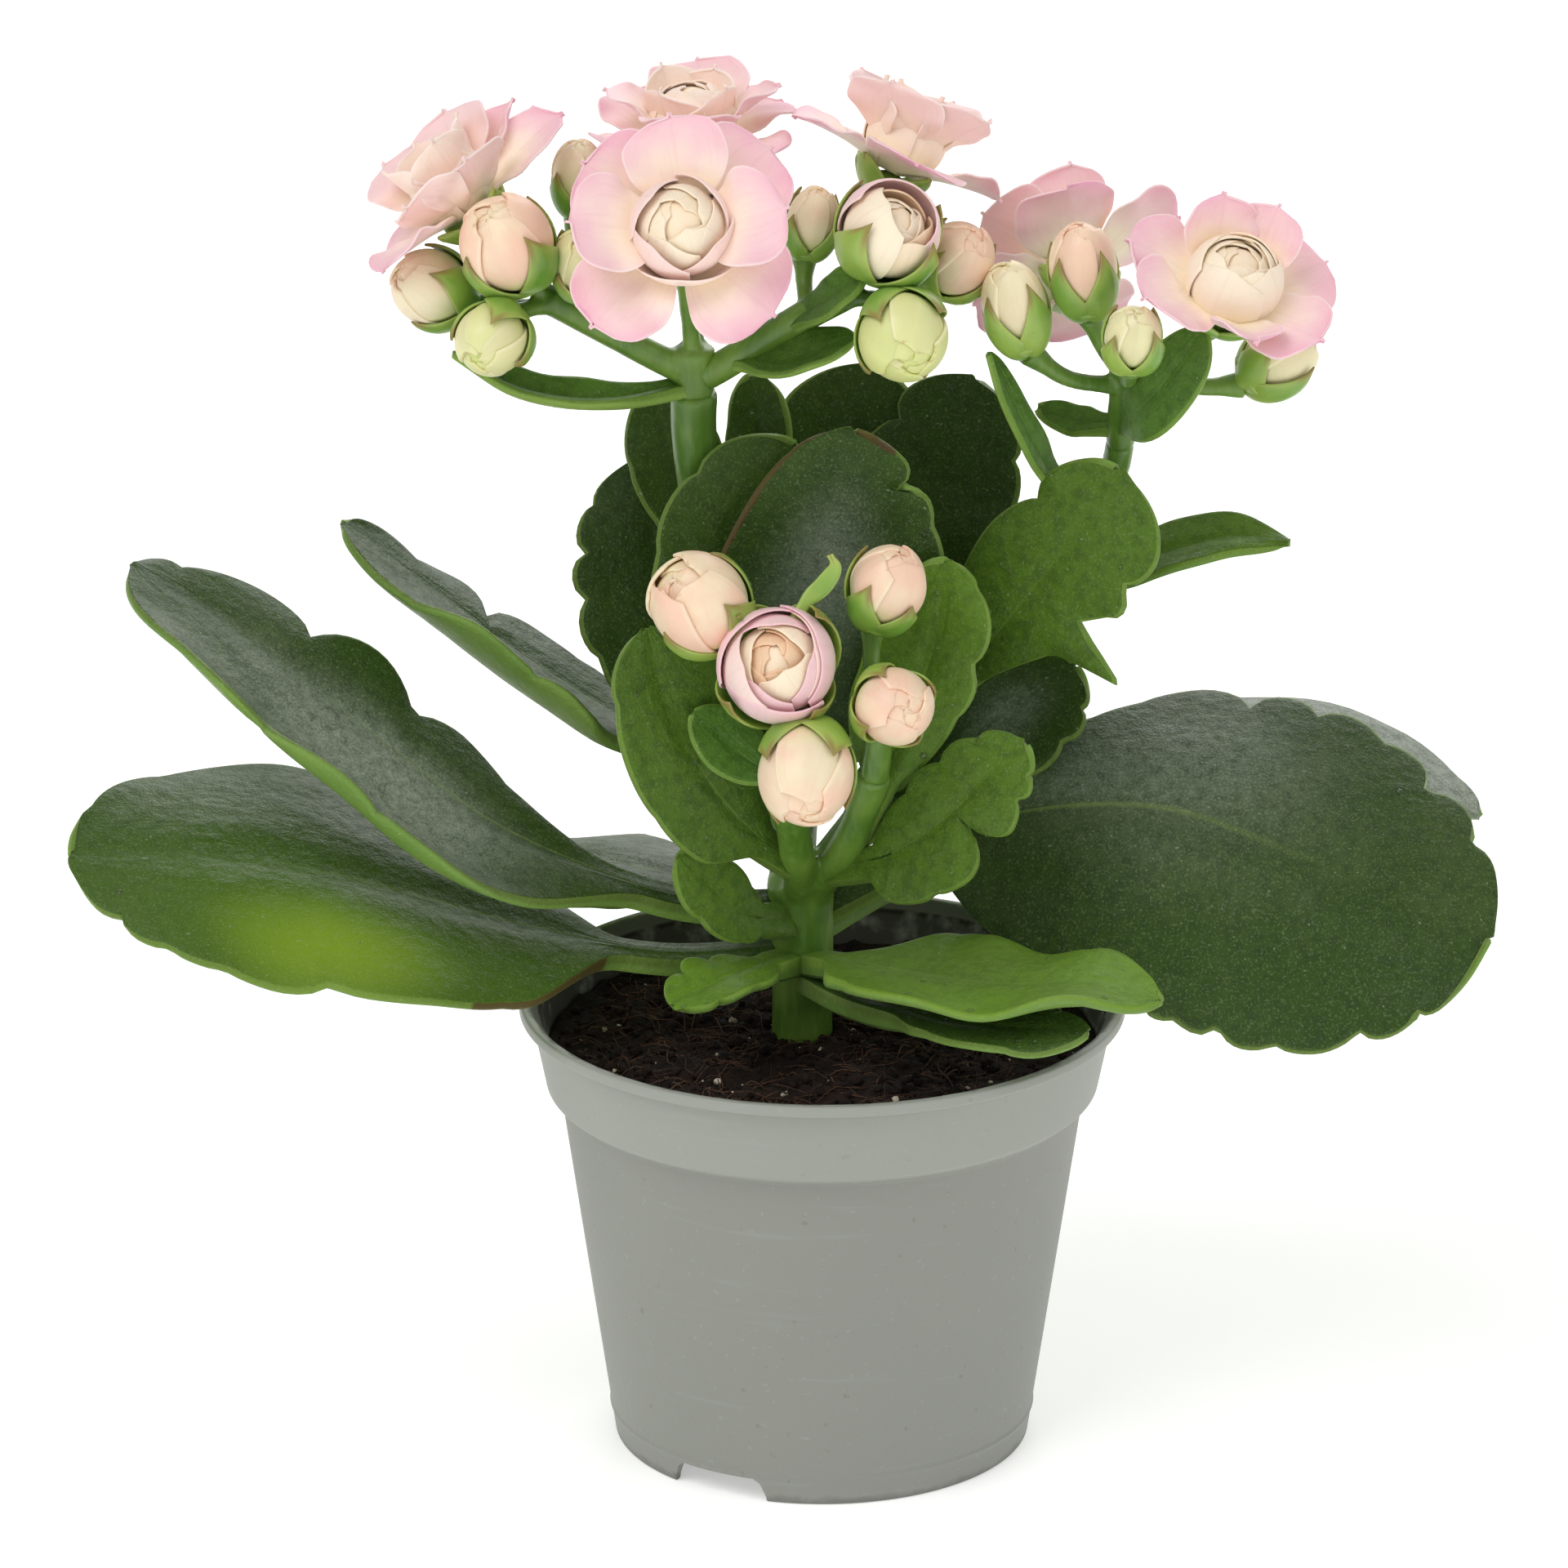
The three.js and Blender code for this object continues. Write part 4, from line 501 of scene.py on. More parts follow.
BACK_OUTER = {**OUTER, "rise": (32, 10)}
BACK_SECOND = {**SECOND, "rise": (50, 24), "pink": 0.62}
MIDDLE_RAISED = {**RAISED, "pink": 0.36}
RIGHT_OUTER = {**OUTER, "turns": (0, 140, 185, 300), "rise": (26, 8), "wide": 4.9}
RIGHT_LIP = {
    **SECOND, "turns": (255,), "length": 7.6, "wide": 4.0, "start": (3.0, 1.6), "rise": (34, 20),
    "curl": (30, 36),
}
RIGHT_SAILS = {
    **SECOND, "turns": (40, 97), "length": 8.8, "wide": 4.0, "start": (2.6, 2.0), "rise": (62, 66),
    "curl": (16, 30),
}
RIGHT_BACK_RAISED = {**RAISED, "pink": 0.6}

# Rings of petals that wrap a ball: its radius against the flower's heart, petals in the ring, the
# latitudes of their feet and tips, half their span in degrees, how far the tip stands out, pinkness,
# which is peach below 0, and the way the first petal points.
HEART = [
    dict(size=1.08, count=4, low=-60, high=52, span=56, flare=-0.06, pink=0.1, turn=20),
    dict(size=0.98, count=4, low=-40, high=65, span=54, flare=-0.05, pink=-0.04, turn=62),
    dict(size=0.88, count=3, low=-30, high=74, span=62, flare=0.0, pink=-0.1, turn=10),
]
LOFTY_HEART = [
    {**ring, "size": ring["size"] * 1.25, "high": ring["high"] + 6, "flare": ring["flare"] + 0.02,
     "pink": 0.2}
    for ring in HEART
]
CUP = [
    dict(size=1.56, count=1, low=-60, high=14, span=58, flare=0.15, pink=0.24, turn=225),
    dict(size=1.42, count=4, low=-68, high=40, span=52, flare=0.04, pink=0.3, turn=0),
]
BALL = [
    dict(size=1.5, count=4, low=-62, high=46, span=58, flare=-0.06, pink=0.1, turn=35),
    dict(size=1.38, count=4, low=-50, high=58, span=58, flare=-0.06, pink=0.02, turn=0),
]
WALL = [
    dict(size=1.72, count=3, low=-72, high=33, span=70, flare=-0.03, pink=0.56, turn=100),
    dict(size=1.58, count=2, low=-60, high=46, span=62, flare=-0.04, pink=0.3, turn=-22),
    dict(size=1.5, count=3, low=-60, high=44, span=56, flare=-0.08, pink=0.5, turn=70),
    dict(size=1.3, count=3, low=-55, high=58, span=68, flare=-0.1, pink=-0.06, turn=20),
]
HOOD = [
    dict(size=1.38, count=1, low=-75, high=56, span=112, flare=0.0, pink=0.4, turn=75),
    dict(size=1.3, count=1, low=-80, high=66, span=72, flare=-0.03, pink=0.02, turn=205),
    dict(size=1.26, count=1, low=-80, high=36, span=64, flare=0.0, pink=-0.12, turn=292),
    dict(size=1.1, count=3, low=-60, high=46, span=64, flare=0.0, pink=-0.2, turn=330),
]
FULL_HEART = [{**ring, "size": ring["size"] * 1.16} for ring in HEART]
SMALL_HEART = [{**ring, "size": ring["size"] * 0.85, "pink": 0.1} for ring in HEART]
ROSE_HEART = [{**ring, "pink": -0.25} for ring in HEART]

# The whorls and the rings of each flower, from the outside in.
FLOWER_FORMS = {
    "flower_left": ([LEFT_OUTER, LEFT_FRONT, LEFT_SAIL, LEFT_FLAG, LEFT_RAISED, CROWN], LOFTY_HEART),
    "flower_front": ([FRONT_OUTER, FRONT_SECOND], CUP + FULL_HEART),
    "flower_back": ([BACK_OUTER, BACK_SECOND, CROWN], LOFTY_HEART),
    "flower_middle": ([OUTER, MIDDLE_RAISED, CROWN], LOFTY_HEART),
    "flower_half_open": ([], HOOD + SMALL_HEART),
    "flower_right": ([RIGHT_OUTER, RIGHT_LIP, RIGHT_SAILS], BALL + FULL_HEART),
    "flower_right_back": ([OUTER, RIGHT_BACK_RAISED], HEART),
    "flower_rose": ([], WALL + ROSE_HEART),
}

# Greens of the bracts, dark and bright on top, then the margin and the underside, and of the sepals,
# young and old.
BRACT_GREENS = ("3c5e20", "628c30", "8aa84c", "7d9c48")
SEPAL_GREENS = ("a3bd55", "5c9230")

# Which finish of its piece a face has.
BRACT_FACE, SEPAL_FACE = 1, 2
PEAT_FACE, FIBRE_FACE, GRIT_FACE = 0, 1, 2
DROP_FACE = 1
SEPAL_UNDER = 0.4  # a sepal's underside is this much like its upper side

# The studio, in metres: each light's setting, width and place, and the camera's place. The camera's
# tilt is in degrees, and its lens and sensor are in millimetres.
LIGHTS = {
    "key_light": ("key_power", 2.2, (-1.4, -1.5, 2.8)),
    "fill_light": ("fill_power", 1.6, (1.9, -1.7, 1.6)),
    "back_light": ("back_power", 2.4, (0.7, 3.0, 1.7)),
}
PLANT_MIDDLE = (0, 0, 0.07)
CAMERA_PLACE = (-0.003785, -1.01636, 0.43869)
CAMERA_TILT = 20.035
CAMERA_LENS = 253.125
CAMERA_SENSOR = 36

# ------------------------------------------------------------------ points and meshes


def unit(vector):
    """A vector of the same direction and length 1."""
    return np.asarray(vector, float) / np.linalg.norm(vector)


def smoothstep(value, low, high):
    """Rises softly from 0 at low to 1 at high."""
    share = np.clip((value - low) / (high - low), 0, 1)
    return share * share * (3 - 2 * share)


class Line:
    """A smooth line through points, followed by share of its length."""

    def __init__(self, points, samples=40):
        points = np.array(points, float)
        ends = np.vstack([2 * points[0] - points[1], points, 2 * points[-1] - points[-2]])
        t = np.linspace(0, 1, samples)[:, None]
        runs = []
        for a, b, c, d in zip(ends, ends[1:], ends[2:], ends[3:]):
            before, here, after = (np.linalg.norm(y - x) ** 0.5 for x, y in ((a, b), (b, c), (c, d)))
            leave = ((b - a) / before - (c - a) / (before + here) + (c - b) / here) * here
            reach = ((c - b) / here - (d - b) / (here + after) + (d - c) / after) * here
            run = b + leave * t + (3 * (c - b) - 2 * leave - reach) * t**2
            runs.append((run + (2 * (b - c) + leave + reach) * t**3)[:-1])
        self.points = np.vstack([*runs, points[-1:]])
        walked = np.cumsum(np.linalg.norm(np.diff(self.points, axis=0), axis=1))
        self.length = walked[-1]
        self.shares = np.concatenate([[0], walked / self.length])
        self.slopes = np.gradient(self.points, self.shares, axis=0)

    def _read(self, table, share):
        return np.stack([np.interp(share, self.shares, table[:, axis]) for axis in range(3)], axis=-1)

    def at(self, share):
        return self._read(self.points, share)

    def ahead(self, share):
        slope = self._read(self.slopes, share)
        return slope / np.linalg.norm(slope, axis=-1, keepdims=True)


def turned(points, at, axis, spin=0):
    """Moves points that were built round the origin, +Z ahead, to a place that looks along an axis."""
    ahead = unit(axis)
    x, y, z = ahead
    skew = np.array([[0, 0, x], [0, 0, y], [-x, -y, 0]])
    turn = np.eye(3) + skew + skew @ skew / (1 + z)
    return points @ (turn @ turned_about_z(spin)).T + np.array(at, float)


def turned_about_z(degrees):
    """The matrix of a turn about the Z axis."""
    c, s = math.cos(math.radians(degrees)), math.sin(math.radians(degrees))
    return np.array([[c, -s, 0], [s, c, 0], [0, 0, 1]])


class Pile:
    """Collects closed shells, with a tint for each point and a finish for each face.

    A tint says how far across and along a blade the point is, whether on its upper side, and its tone.
    """

    def __init__(self):
        self.points = []
        self.tints = []
        self.faces = []
        self.kinds = []
        self.count = 0

    def add(self, points, faces, tints, kind=0):
        self.points.append(points)
        self.tints.append(np.broadcast_to(tints, (len(points), 4)))
        for group in faces:
            self.faces.append(np.asarray(group) + self.count)
            self.kinds.append(np.full(len(group), kind))
        self.count += len(points)

    def piece(self, name, finishes, slot, *nodes):
        """Makes one mesh of what was collected, in place of CAD nodes."""
        mesh = bpy.data.meshes.new(name)
        points = np.vstack(self.points) * MM
        corners = np.concatenate([group.ravel() for group in self.faces])
        sizes = np.concatenate([np.full(len(group), group.shape[1]) for group in self.faces])
        mesh.vertices.add(len(points))
        mesh.vertices.foreach_set("co", points.ravel())
        mesh.loops.add(len(corners))
        mesh.loops.foreach_set("vertex_index", corners)
        mesh.polygons.add(len(sizes))
        mesh.polygons.foreach_set("loop_start", np.concatenate([[0], np.cumsum(sizes)[:-1]]))
        mesh.polygons.foreach_set("material_index", np.concatenate(self.kinds))
        tints = mesh.color_attributes.new("tint", "FLOAT_COLOR", "POINT")
        tints.data.foreach_set("color", np.vstack(self.tints).ravel())
        mesh.update(calc_edges=True)
        if mesh.validate():
            raise RuntimeError(f"{name} has faces that are not valid")
        mesh.shade_smooth()
        for finish in finishes:
            mesh.materials.append(finish)
        piece = bpy.data.objects.new(name, mesh)
        bpy.context.scene.collection.objects.link(piece)
        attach(piece, "root")
        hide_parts(*nodes)
        return piece


def grid_faces(rows, columns, start=0):
    """The quads of a grid of points."""
    index = start + np.arange(rows * columns).reshape(rows, columns)
    corners = (index[:-1, :-1], index[:-1, 1:], index[1:, 1:], index[1:, :-1])
    return np.stack([corner.ravel() for corner in corners], axis=1)


def slab(pile, grid, thick, tint, kind=0, under=0.0):
    """A grid of points made into a thin solid with a rounded rim. The third tint is 1 on the upper side."""
    rows, columns = grid.shape[:2]
    normal = np.cross(np.gradient(grid, axis=1), np.gradient(grid, axis=0))
    size = np.linalg.norm(normal, axis=2, keepdims=True)
    normal /= np.maximum(size, 1e-9)
    half = np.broadcast_to(thick, (rows, columns))[..., None] / 2
    edge = [(0, j) for j in range(columns)] + [(i, columns - 1) for i in range(1, rows)]
    edge += [(rows - 1, j) for j in range(columns - 2, -1, -1)] + [(i, 0) for i in range(rows - 2, 0, -1)]
    i, j = np.array(edge).T
    inner = grid[np.clip(i, 1, rows - 2), np.clip(j, 1, columns - 2)]
    out = grid[i, j] - inner
    out -= normal[i, j] * np.sum(out * normal[i, j], axis=1, keepdims=True)
    reach = np.linalg.norm(out, axis=1, keepdims=True)
    out /= np.maximum(reach, 1e-9)
    draw = np.minimum(half[i, j], 0.8 * reach)
    body = grid.copy()
    body[i, j] -= out * draw
    upper, lower = body + normal * half, body - normal * half
    loops = [body[i, j] + out * draw * math.cos(a) + normal[i, j] * half[i, j] * math.sin(a)
             for a in RIM_ANGLES]
    points = np.vstack([upper.reshape(-1, 3), lower.reshape(-1, 3), *loops])
    count, around = rows * columns, len(edge)
    top = grid_faces(rows, columns)
    bottom = grid_faces(rows, columns, count)[:, ::-1]
    flat = i * columns + j
    rings = [flat, *(2 * count + np.arange(around) + around * k for k in range(3)), flat + count]
    walls = [np.stack([low, np.roll(low, -1), np.roll(high, -1), high], axis=1)
             for high, low in zip(rings, rings[1:])]
    faces = [top, bottom, *walls]
    tints = np.broadcast_to(tint, (rows, columns, 4))
    side = tints[i, j]
    whole = tints.reshape(-1, 4)
    level = [(whole, 1.0), (whole, under), (side, 0.8), (side, 0.5), (side, 0.3)]
    layers = []
    for layer, share in level:
        layer = layer.copy()
        layer[:, 2] = share
        layers.append(layer)
    pile.add(points, faces, np.vstack(layers), kind)
    return upper, normal


def scallops(q, cuts):
    """How far the margin is drawn in along the blade: round lobes that meet in sharp notches."""
    stops = [SCALLOP_START, *(place for place, depth in cuts), 1.0]
    depths = [0, *(depth for place, depth in cuts), 0]
    drawn = np.zeros_like(q)
    for a, b, near, far in zip(stops, stops[1:], depths, depths[1:]):
        inside = (q >= a) & (q <= b)
        phase = (q[inside] - a) / (b - a)
        wave = 1 - np.abs(np.sin(np.pi * phase)) ** LOBE_CURVE
        drawn[inside] = wave * np.where(phase < 0.5, near, far)
    return drawn


def blade_grid(rib, face, wide, petiole=0.1, belly=0.55, lobes=0, notch=(0, 0), turn=(0, 0), ease=(1, 1),
               thick=1.4, edge=0.7, blunt=0.5, stalk_wide=1.7, stalk_thick=2.6, rows=50, columns=17,
               ripple=0.0, groove=0.0, mucro=0.0, foot=0.0, cuts=None, teeth=((), ()),
               glow=(0, 0.5, 0, 1), tone=0.5, seed=0):
    """Points over a leaf or petal, its thickness, and its tint: across, along, side and tone."""
    random = np.random.default_rng(seed)
    line = Line(rib)
    spaced = 0.5 - 0.5 * np.cos(np.linspace(0, math.pi, rows))
    stalk = np.linspace(0, petiole, max(2, round(0.8 * rows * petiole)), endpoint=False)
    s = np.concatenate([stalk, petiole + (1 - petiole) * spaced])
    q = np.concatenate([np.zeros(len(stalk)), spaced])
    spread = np.sin(np.linspace(-1, 1, columns) * 1.3) / math.sin(1.3)
    blade_length = line.length * (1 - petiole)
    spike = mucro / blade_length
    body = np.clip(q / (1 - spike), 0, 1)
    stalk_share = smoothstep(1 - q, 0.5, 1)
    halves, shifts, bends = [], [], []
    for side in (0, 1):
        widest, round_end, narrow = (np.broadcast_to(value, 2)[side] for value in (belly, blunt, foot))
        rise = round_end * widest / (1 - widest)
        share = body**rise * (1 - body) ** round_end / (widest**rise * (1 - widest) ** round_end)
        if narrow:
            share = share * (0.3 + 0.7 * smoothstep(body, 0, narrow))
        full = wide[side] * share
        half = (full**4 + (stalk_wide * stalk_share) ** 4) ** 0.25
        wobble = random.uniform(0, 2 * math.pi, 2)
        half = half * (1 + 0.02 * np.sin(7 * q + wobble[0]) + 0.012 * np.sin(17 * q + wobble[1]))
        half = np.maximum(half, 0.12 + 0.2 * (spike == 0))
        if cuts:
            marks = cuts[side]
        else:
            room = 1 - FIRST_NOTCH
            marks = [(FIRST_NOTCH + room * k / lobes, notch[side]) for k in range(1, lobes)]
            marks = [(FIRST_NOTCH, notch[side] * 0.5), *marks] if lobes else []
        pull = scallops(q, marks) * wide[side] * (0.3 + 0.7 * share) * 1.15
        for place, height, spread_out in teeth[side]:
            half = half + height * np.clip(1 - np.abs(q - place) / spread_out, 0, 1) ** 1.6
        slope = np.gradient(half, s * line.length)
        norm = np.hypot(slope, 1)
        shifts.append(pull * slope / norm / line.length)
        halves.append(np.maximum(half - pull / norm, 0.12))
        bends.append(wobble)
    if spike:
        point = 0.28 * np.clip((1 - q) / spike, 0, 1) ** 1.3
        tail = q > 1 - 1.6 * spike
        halves = [np.where(tail, np.maximum(half, point), half) for half in halves]
    side = (spread > 0).astype(int)
    across_share = np.abs(spread)
    half = np.stack(halves, axis=1)[:, side]
    shift = np.stack(shifts, axis=1)[:, side] * across_share**2
    stagger = 0.03 * spread * np.sin(np.pi * q)[:, None] if lobes else 0
    along = np.clip(s[:, None] + shift + stagger, 0, 1)
    middle, ahead = line.at(along), line.ahead(along)
    look = unit(face[0]) * (1 - along[..., None]) + unit(face[1]) * along[..., None]
    across = np.cross(ahead, look)
    across /= np.linalg.norm(across, axis=2, keepdims=True)
    up = np.cross(across, ahead)
    reach = half * across_share
    longest = max(wide)
    angle = np.radians(turn)[side] * np.ones_like(reach)
    late = np.array(ease, float)[side]
    out, raised, steps = np.zeros_like(reach), np.zeros_like(reach), 10
    for step in range(steps):
        bend = angle * (reach * (step + 0.5) / steps / longest) ** late
        out += reach / steps * np.cos(bend)
        raised += reach / steps * np.sin(bend)
    phase = np.array(bends)[side]
    wave = np.sin(9 * q[:, None] + phase[:, 0]) + 0.6 * np.sin(19 * q[:, None] + phase[:, 1])
    raised = raised + ripple * wave * across_share**2 * smoothstep(q, 0.05, 0.4)[:, None]
    channel = np.exp(-((reach / (0.09 * longest + 0.4)) ** 2))
    raised -= groove * channel * (0.4 + 0.6 * smoothstep(1 - q, 0, 0.5))[:, None]
    grid = middle + across * (np.sign(spread) * out)[..., None] + up * raised[..., None]
    blade_thick = thick + (edge - thick) * np.maximum(across_share**2.5, (q**4)[:, None])
    root_thick = stalk_thick * (1 - 0.35 * across_share**2)
    blend = (stalk_share**2)[:, None]
    deep = blade_thick * (1 - blend) + root_thick * blend
    # glow paints a patch of light into the tone: a painted sheen below 0, a painted glow of light through
    # the blade above 0.
    strength, place, beside, size = glow
    patch_along = np.exp(-(((q - place) / (0.28 * size)) ** 2))[:, None]
    patch_across = np.exp(-(((spread - beside) / (0.6 * size)) ** 2))
    light = tone + strength * (patch_along * patch_across)
    tint = np.stack(np.broadcast_arrays((spread + 1) / 2, q[:, None], 1.0, light), axis=2)
    return grid, deep, tint


def shell_grid(radius, turn, span, low, high, tall=1.0, *, drop, sharp, flare, tone, rows, columns,
               proud=0.05, twist=0.0):
    """Points over a petal or sepal that wraps a ball, from the latitude of its foot to that of its tip.

    drop and sharp shape the tip, proud lifts one side over its neighbour, and flare lifts the tip.
    """
    u = np.linspace(-1, 1, columns)[None, :]
    v = np.linspace(0, 1, rows)[:, None]
    top = high - drop * np.abs(u) ** sharp
    latitude = np.radians(low + (top - low) * v)
    angle = np.radians(turn + span * u + twist * v**2)
    size = radius * (1 + proud * u + flare * v**2)
    flat = size * np.cos(latitude)
    grid = np.stack([flat * np.cos(angle), flat * np.sin(angle), size * tall * np.sin(latitude)], axis=2)
    tint = np.stack(np.broadcast_arrays((u + 1) / 2, v, 1.0, tone), axis=2)
    return grid, tint


def tube(line, radii, sides, steps):
    """Points and faces of a round bar along a line. Its radius may change on the way."""
    path = Line(line)
    share = np.linspace(0, 1, steps)
    middle, ahead = path.at(share), path.ahead(share)
    radius = np.interp(share, np.linspace(0, 1, len(radii)), radii)
    side = unit(np.cross(ahead[0], [0.3, 1, 0.2]))
    angle = np.linspace(0, 2 * math.pi, sides, endpoint=False)
    rings = []
    for centre, way, size in zip(middle, ahead, radius):
        side = unit(side - way * (side @ way))
        other = np.cross(way, side)
        rings.append(centre + size * (np.cos(angle)[:, None] * side + np.sin(angle)[:, None] * other))
    points = np.vstack([*rings, middle[0], middle[-1]])
    index = np.arange(steps * sides).reshape(steps, sides)
    nearer, farther = index[:-1], index[1:]
    walls = (nearer, np.roll(nearer, -1, axis=1), np.roll(farther, -1, axis=1), farther)
    first, last = steps * sides, steps * sides + 1
    caps = [np.stack([np.full(sides, first), np.roll(index[0], -1), index[0]], axis=1),
            np.stack([np.full(sides, last), index[-1], np.roll(index[-1], -1)], axis=1)]
    return points, [np.stack([wall.ravel() for wall in walls], axis=1), *caps]


def melted(parts, voxel):
    """Runs bars into each other, with a soft fillet where they meet. voxel is the size of the new faces."""
    pile = Pile()
    for points, faces in parts:
        pile.add(points, faces, (0, 0, 0, 0))
    mesh = bpy.data.meshes.new("bars")
    points = np.vstack(pile.points) * MM
    mesh.from_pydata(points.tolist(), [], [face for group in pile.faces for face in group.tolist()])
    bars = bpy.data.objects.new("bars", mesh)
    bpy.context.scene.collection.objects.link(bars)
    remesh = bars.modifiers.new("Melt", "REMESH")
    remesh.mode = "VOXEL"
    remesh.voxel_size = voxel * MM
    smooth = bars.modifiers.new("Soften", "SMOOTH")
    smooth.factor = 0.5
    smooth.iterations = 7
    done = bars.evaluated_get(bpy.context.evaluated_depsgraph_get()).to_mesh()
    count = len(done.vertices)
    flat = np.empty(count * 3)
    done.vertices.foreach_get("co", flat)
    quads = [tuple(face.vertices) for face in done.polygons]
    points = flat.reshape(-1, 3) / MM
    groups = [np.array([quad for quad in quads if len(quad) == size]) for size in (3, 4)]
    bpy.data.objects.remove(bars)
    bpy.data.meshes.remove(mesh)
    return points, [group for group in groups if len(group)]


def lathe(profile, sides):
    """Points and faces of a solid turned round the Z axis, from a profile that starts and ends on it."""
    angle = np.linspace(0, 2 * math.pi, sides, endpoint=False)
    rings = [np.stack([r * np.cos(angle), r * np.sin(angle), np.full(sides, z)], axis=1)
             for r, z in profile[1:-1]]
    points = np.vstack([*rings, [0, 0, profile[0][1]], [0, 0, profile[-1][1]]])
    index = np.arange(len(rings) * sides).reshape(-1, sides)
    nearer, farther = index[:-1], index[1:]
    walls = (nearer, np.roll(nearer, -1, axis=1), np.roll(farther, -1, axis=1), farther)
    first, last = len(points) - 2, len(points) - 1
    caps = [np.stack([np.full(sides, first), np.roll(index[0], -1), index[0]], axis=1),
            np.stack([np.full(sides, last), index[-1], np.roll(index[-1], -1)], axis=1)]
    return points, [np.stack([wall.ravel() for wall in walls], axis=1), *caps]


def rounded(profile, radius, longest):
    """A profile with its corners rounded off and its long sides divided."""
    profile = [np.array(point, float) for point in profile]
    turned_off = [profile[0]]
    for before, corner, after in zip(profile, profile[1:], profile[2:]):
        back, on = before - corner, after - corner
        start = corner + back * min(radius / np.linalg.norm(back), 0.45)
        end = corner + on * min(radius / np.linalg.norm(on), 0.45)
        turned_off += [(1 - t) ** 2 * start + 2 * t * (1 - t) * corner + t**2 * end
                       for t in (0, 0.25, 0.5, 0.75, 1)]
    turned_off.append(profile[-1])
    fine = [turned_off[0]]
    for a, b in zip(turned_off, turned_off[1:]):
        parts = max(1, math.ceil(np.linalg.norm(b - a) / longest))
        fine += [a + (b - a) * part / parts for part in range(1, parts + 1)]
    return fine


def egg(radius, tall=1.0, sides=18, steps=11):
    """A closed ball, stretched along Z."""
    angle = np.linspace(-math.pi / 2, math.pi / 2, steps)
    return lathe([(radius * math.cos(a), radius * tall * math.sin(a)) for a in angle], sides)


# ------------------------------------------------------------------ materials


def colour(code):
    """A colour for Blender from a hexadecimal one."""
    parts = [int(code[place:place + 2], 16) / 255 for place in (0, 2, 4)]
    return [part / 12.92 if part <= 0.04045 else ((part + 0.055) / 1.055) ** 2.4 for part in parts] + [1]


class Socket:
    """A shader node's output. Arithmetic on it adds Math nodes."""

    def __init__(self, finish, output):
        self.finish, self.output = finish, output

    def _math(self, operation, first, second=0.0):
        return self.finish.node("ShaderNodeMath", {"operation": operation}, {0: first, 1: second})

    def __add__(self, other):
        return self._math("ADD", self, other)

    def __mul__(self, other):
        return self._math("MULTIPLY", self, other)

    def __sub__(self, other):
        return self._math("SUBTRACT", self, other)

    def __rsub__(self, other):
        return self._math("SUBTRACT", other, self)

    def __abs__(self):
        return self._math("ABSOLUTE", self)

    __radd__, __rmul__ = __add__, __mul__


class Finish:
    """A material and its shader nodes."""

    def __init__(self, name, **constants):
        self.material = bpy.data.materials.new(name)
        self.material.use_nodes = True
        self.shader = self.material.node_tree.nodes["Principled BSDF"]
        for socket, value in constants.items():
            self.shader.inputs[socket.replace("_", " ")].default_value = value

    def node(self, kind, settings=None, values=None, output=0):
        """Adds a node: first its settings or ramp stops, then the values or links of its sockets."""
        node = self.material.node_tree.nodes.new(kind)
        for setting, value in (settings or {}).items():
            if setting == "stops":
                ramp = node.color_ramp.elements
                while len(ramp) < len(value):
                    ramp.new(0.5)
                for stop, (place, tone) in zip(ramp, value):
                    stop.position = place
                    stop.color = tone
            else:
                setattr(node, setting, value)
        for socket, value in (values or {}).items():
            self.join(value, node.inputs[socket])
        return Socket(self, node.outputs[output])

    def join(self, value, socket):
        """Links a shader node's output to a socket, or sets the socket to a value."""
        if isinstance(value, Socket):
            self.material.node_tree.links.new(value.output, socket)
        else:
            socket.default_value = value

    def mix(self, share, a, b):
        """Colour a, with a share of colour b."""
        settings = {"data_type": "RGBA", "blend_type": "MIX", "clamp_factor": True}
        return self.node("ShaderNodeMix", settings, {0: share, 6: a, 7: b}, 2)

    def step(self, value, low, high):
        """Rises softly from 0 at low to 1 at high."""
        settings = {"interpolation_type": "SMOOTHSTEP"}
        return self.node("ShaderNodeMapRange", settings, {0: value, 1: low, 2: high})

    def places(self, x=1.0, y=1.0, z=1.0):
        """The object's own coordinates in metres, scaled."""
        own = self.node("ShaderNodeTexCoord", output=3)
        return self.node("ShaderNodeVectorMath", {"operation": "MULTIPLY"}, {0: own, 1: (x, y, z)})

    def noise(self, scale, detail=3.0, vector=None, roughness=0.5):
        """Soft random spots, smaller as scale rises."""
        values = {"Scale": scale, "Detail": detail, "Roughness": roughness}
        values["Vector"] = vector or self.places()
        return self.node("ShaderNodeTexNoise", None, values)

    def tint(self):
        """The tint's four parts: across, along, side and tone."""
        attribute = {"attribute_type": "GEOMETRY", "attribute_name": "tint"}
        node = self.node("ShaderNodeAttribute", attribute)
        parts = node.output.node
        split = [self.node("ShaderNodeSeparateColor", None, {0: node}, place) for place in range(3)]
        return [*split, Socket(self, parts.outputs["Alpha"])]

    def finish(self, base, roughness, height=None, distance=0.0001, strength=0.5):
        """Gives the material its colour, its roughness and its relief."""
        self.join(base, self.shader.inputs["Base Color"])
        self.join(roughness, self.shader.inputs["Roughness"])
        if height is not None:
            values = {"Strength": strength, "Distance": distance, "Height": height}
            self.join(self.node("ShaderNodeBump", None, values), self.shader.inputs["Normal"])
        return self.material


SOFT_GREEN = {"Subsurface_Weight": 0.12, "Subsurface_Radius": (0.8, 1.0, 0.3), "Subsurface_Scale": 0.0015}


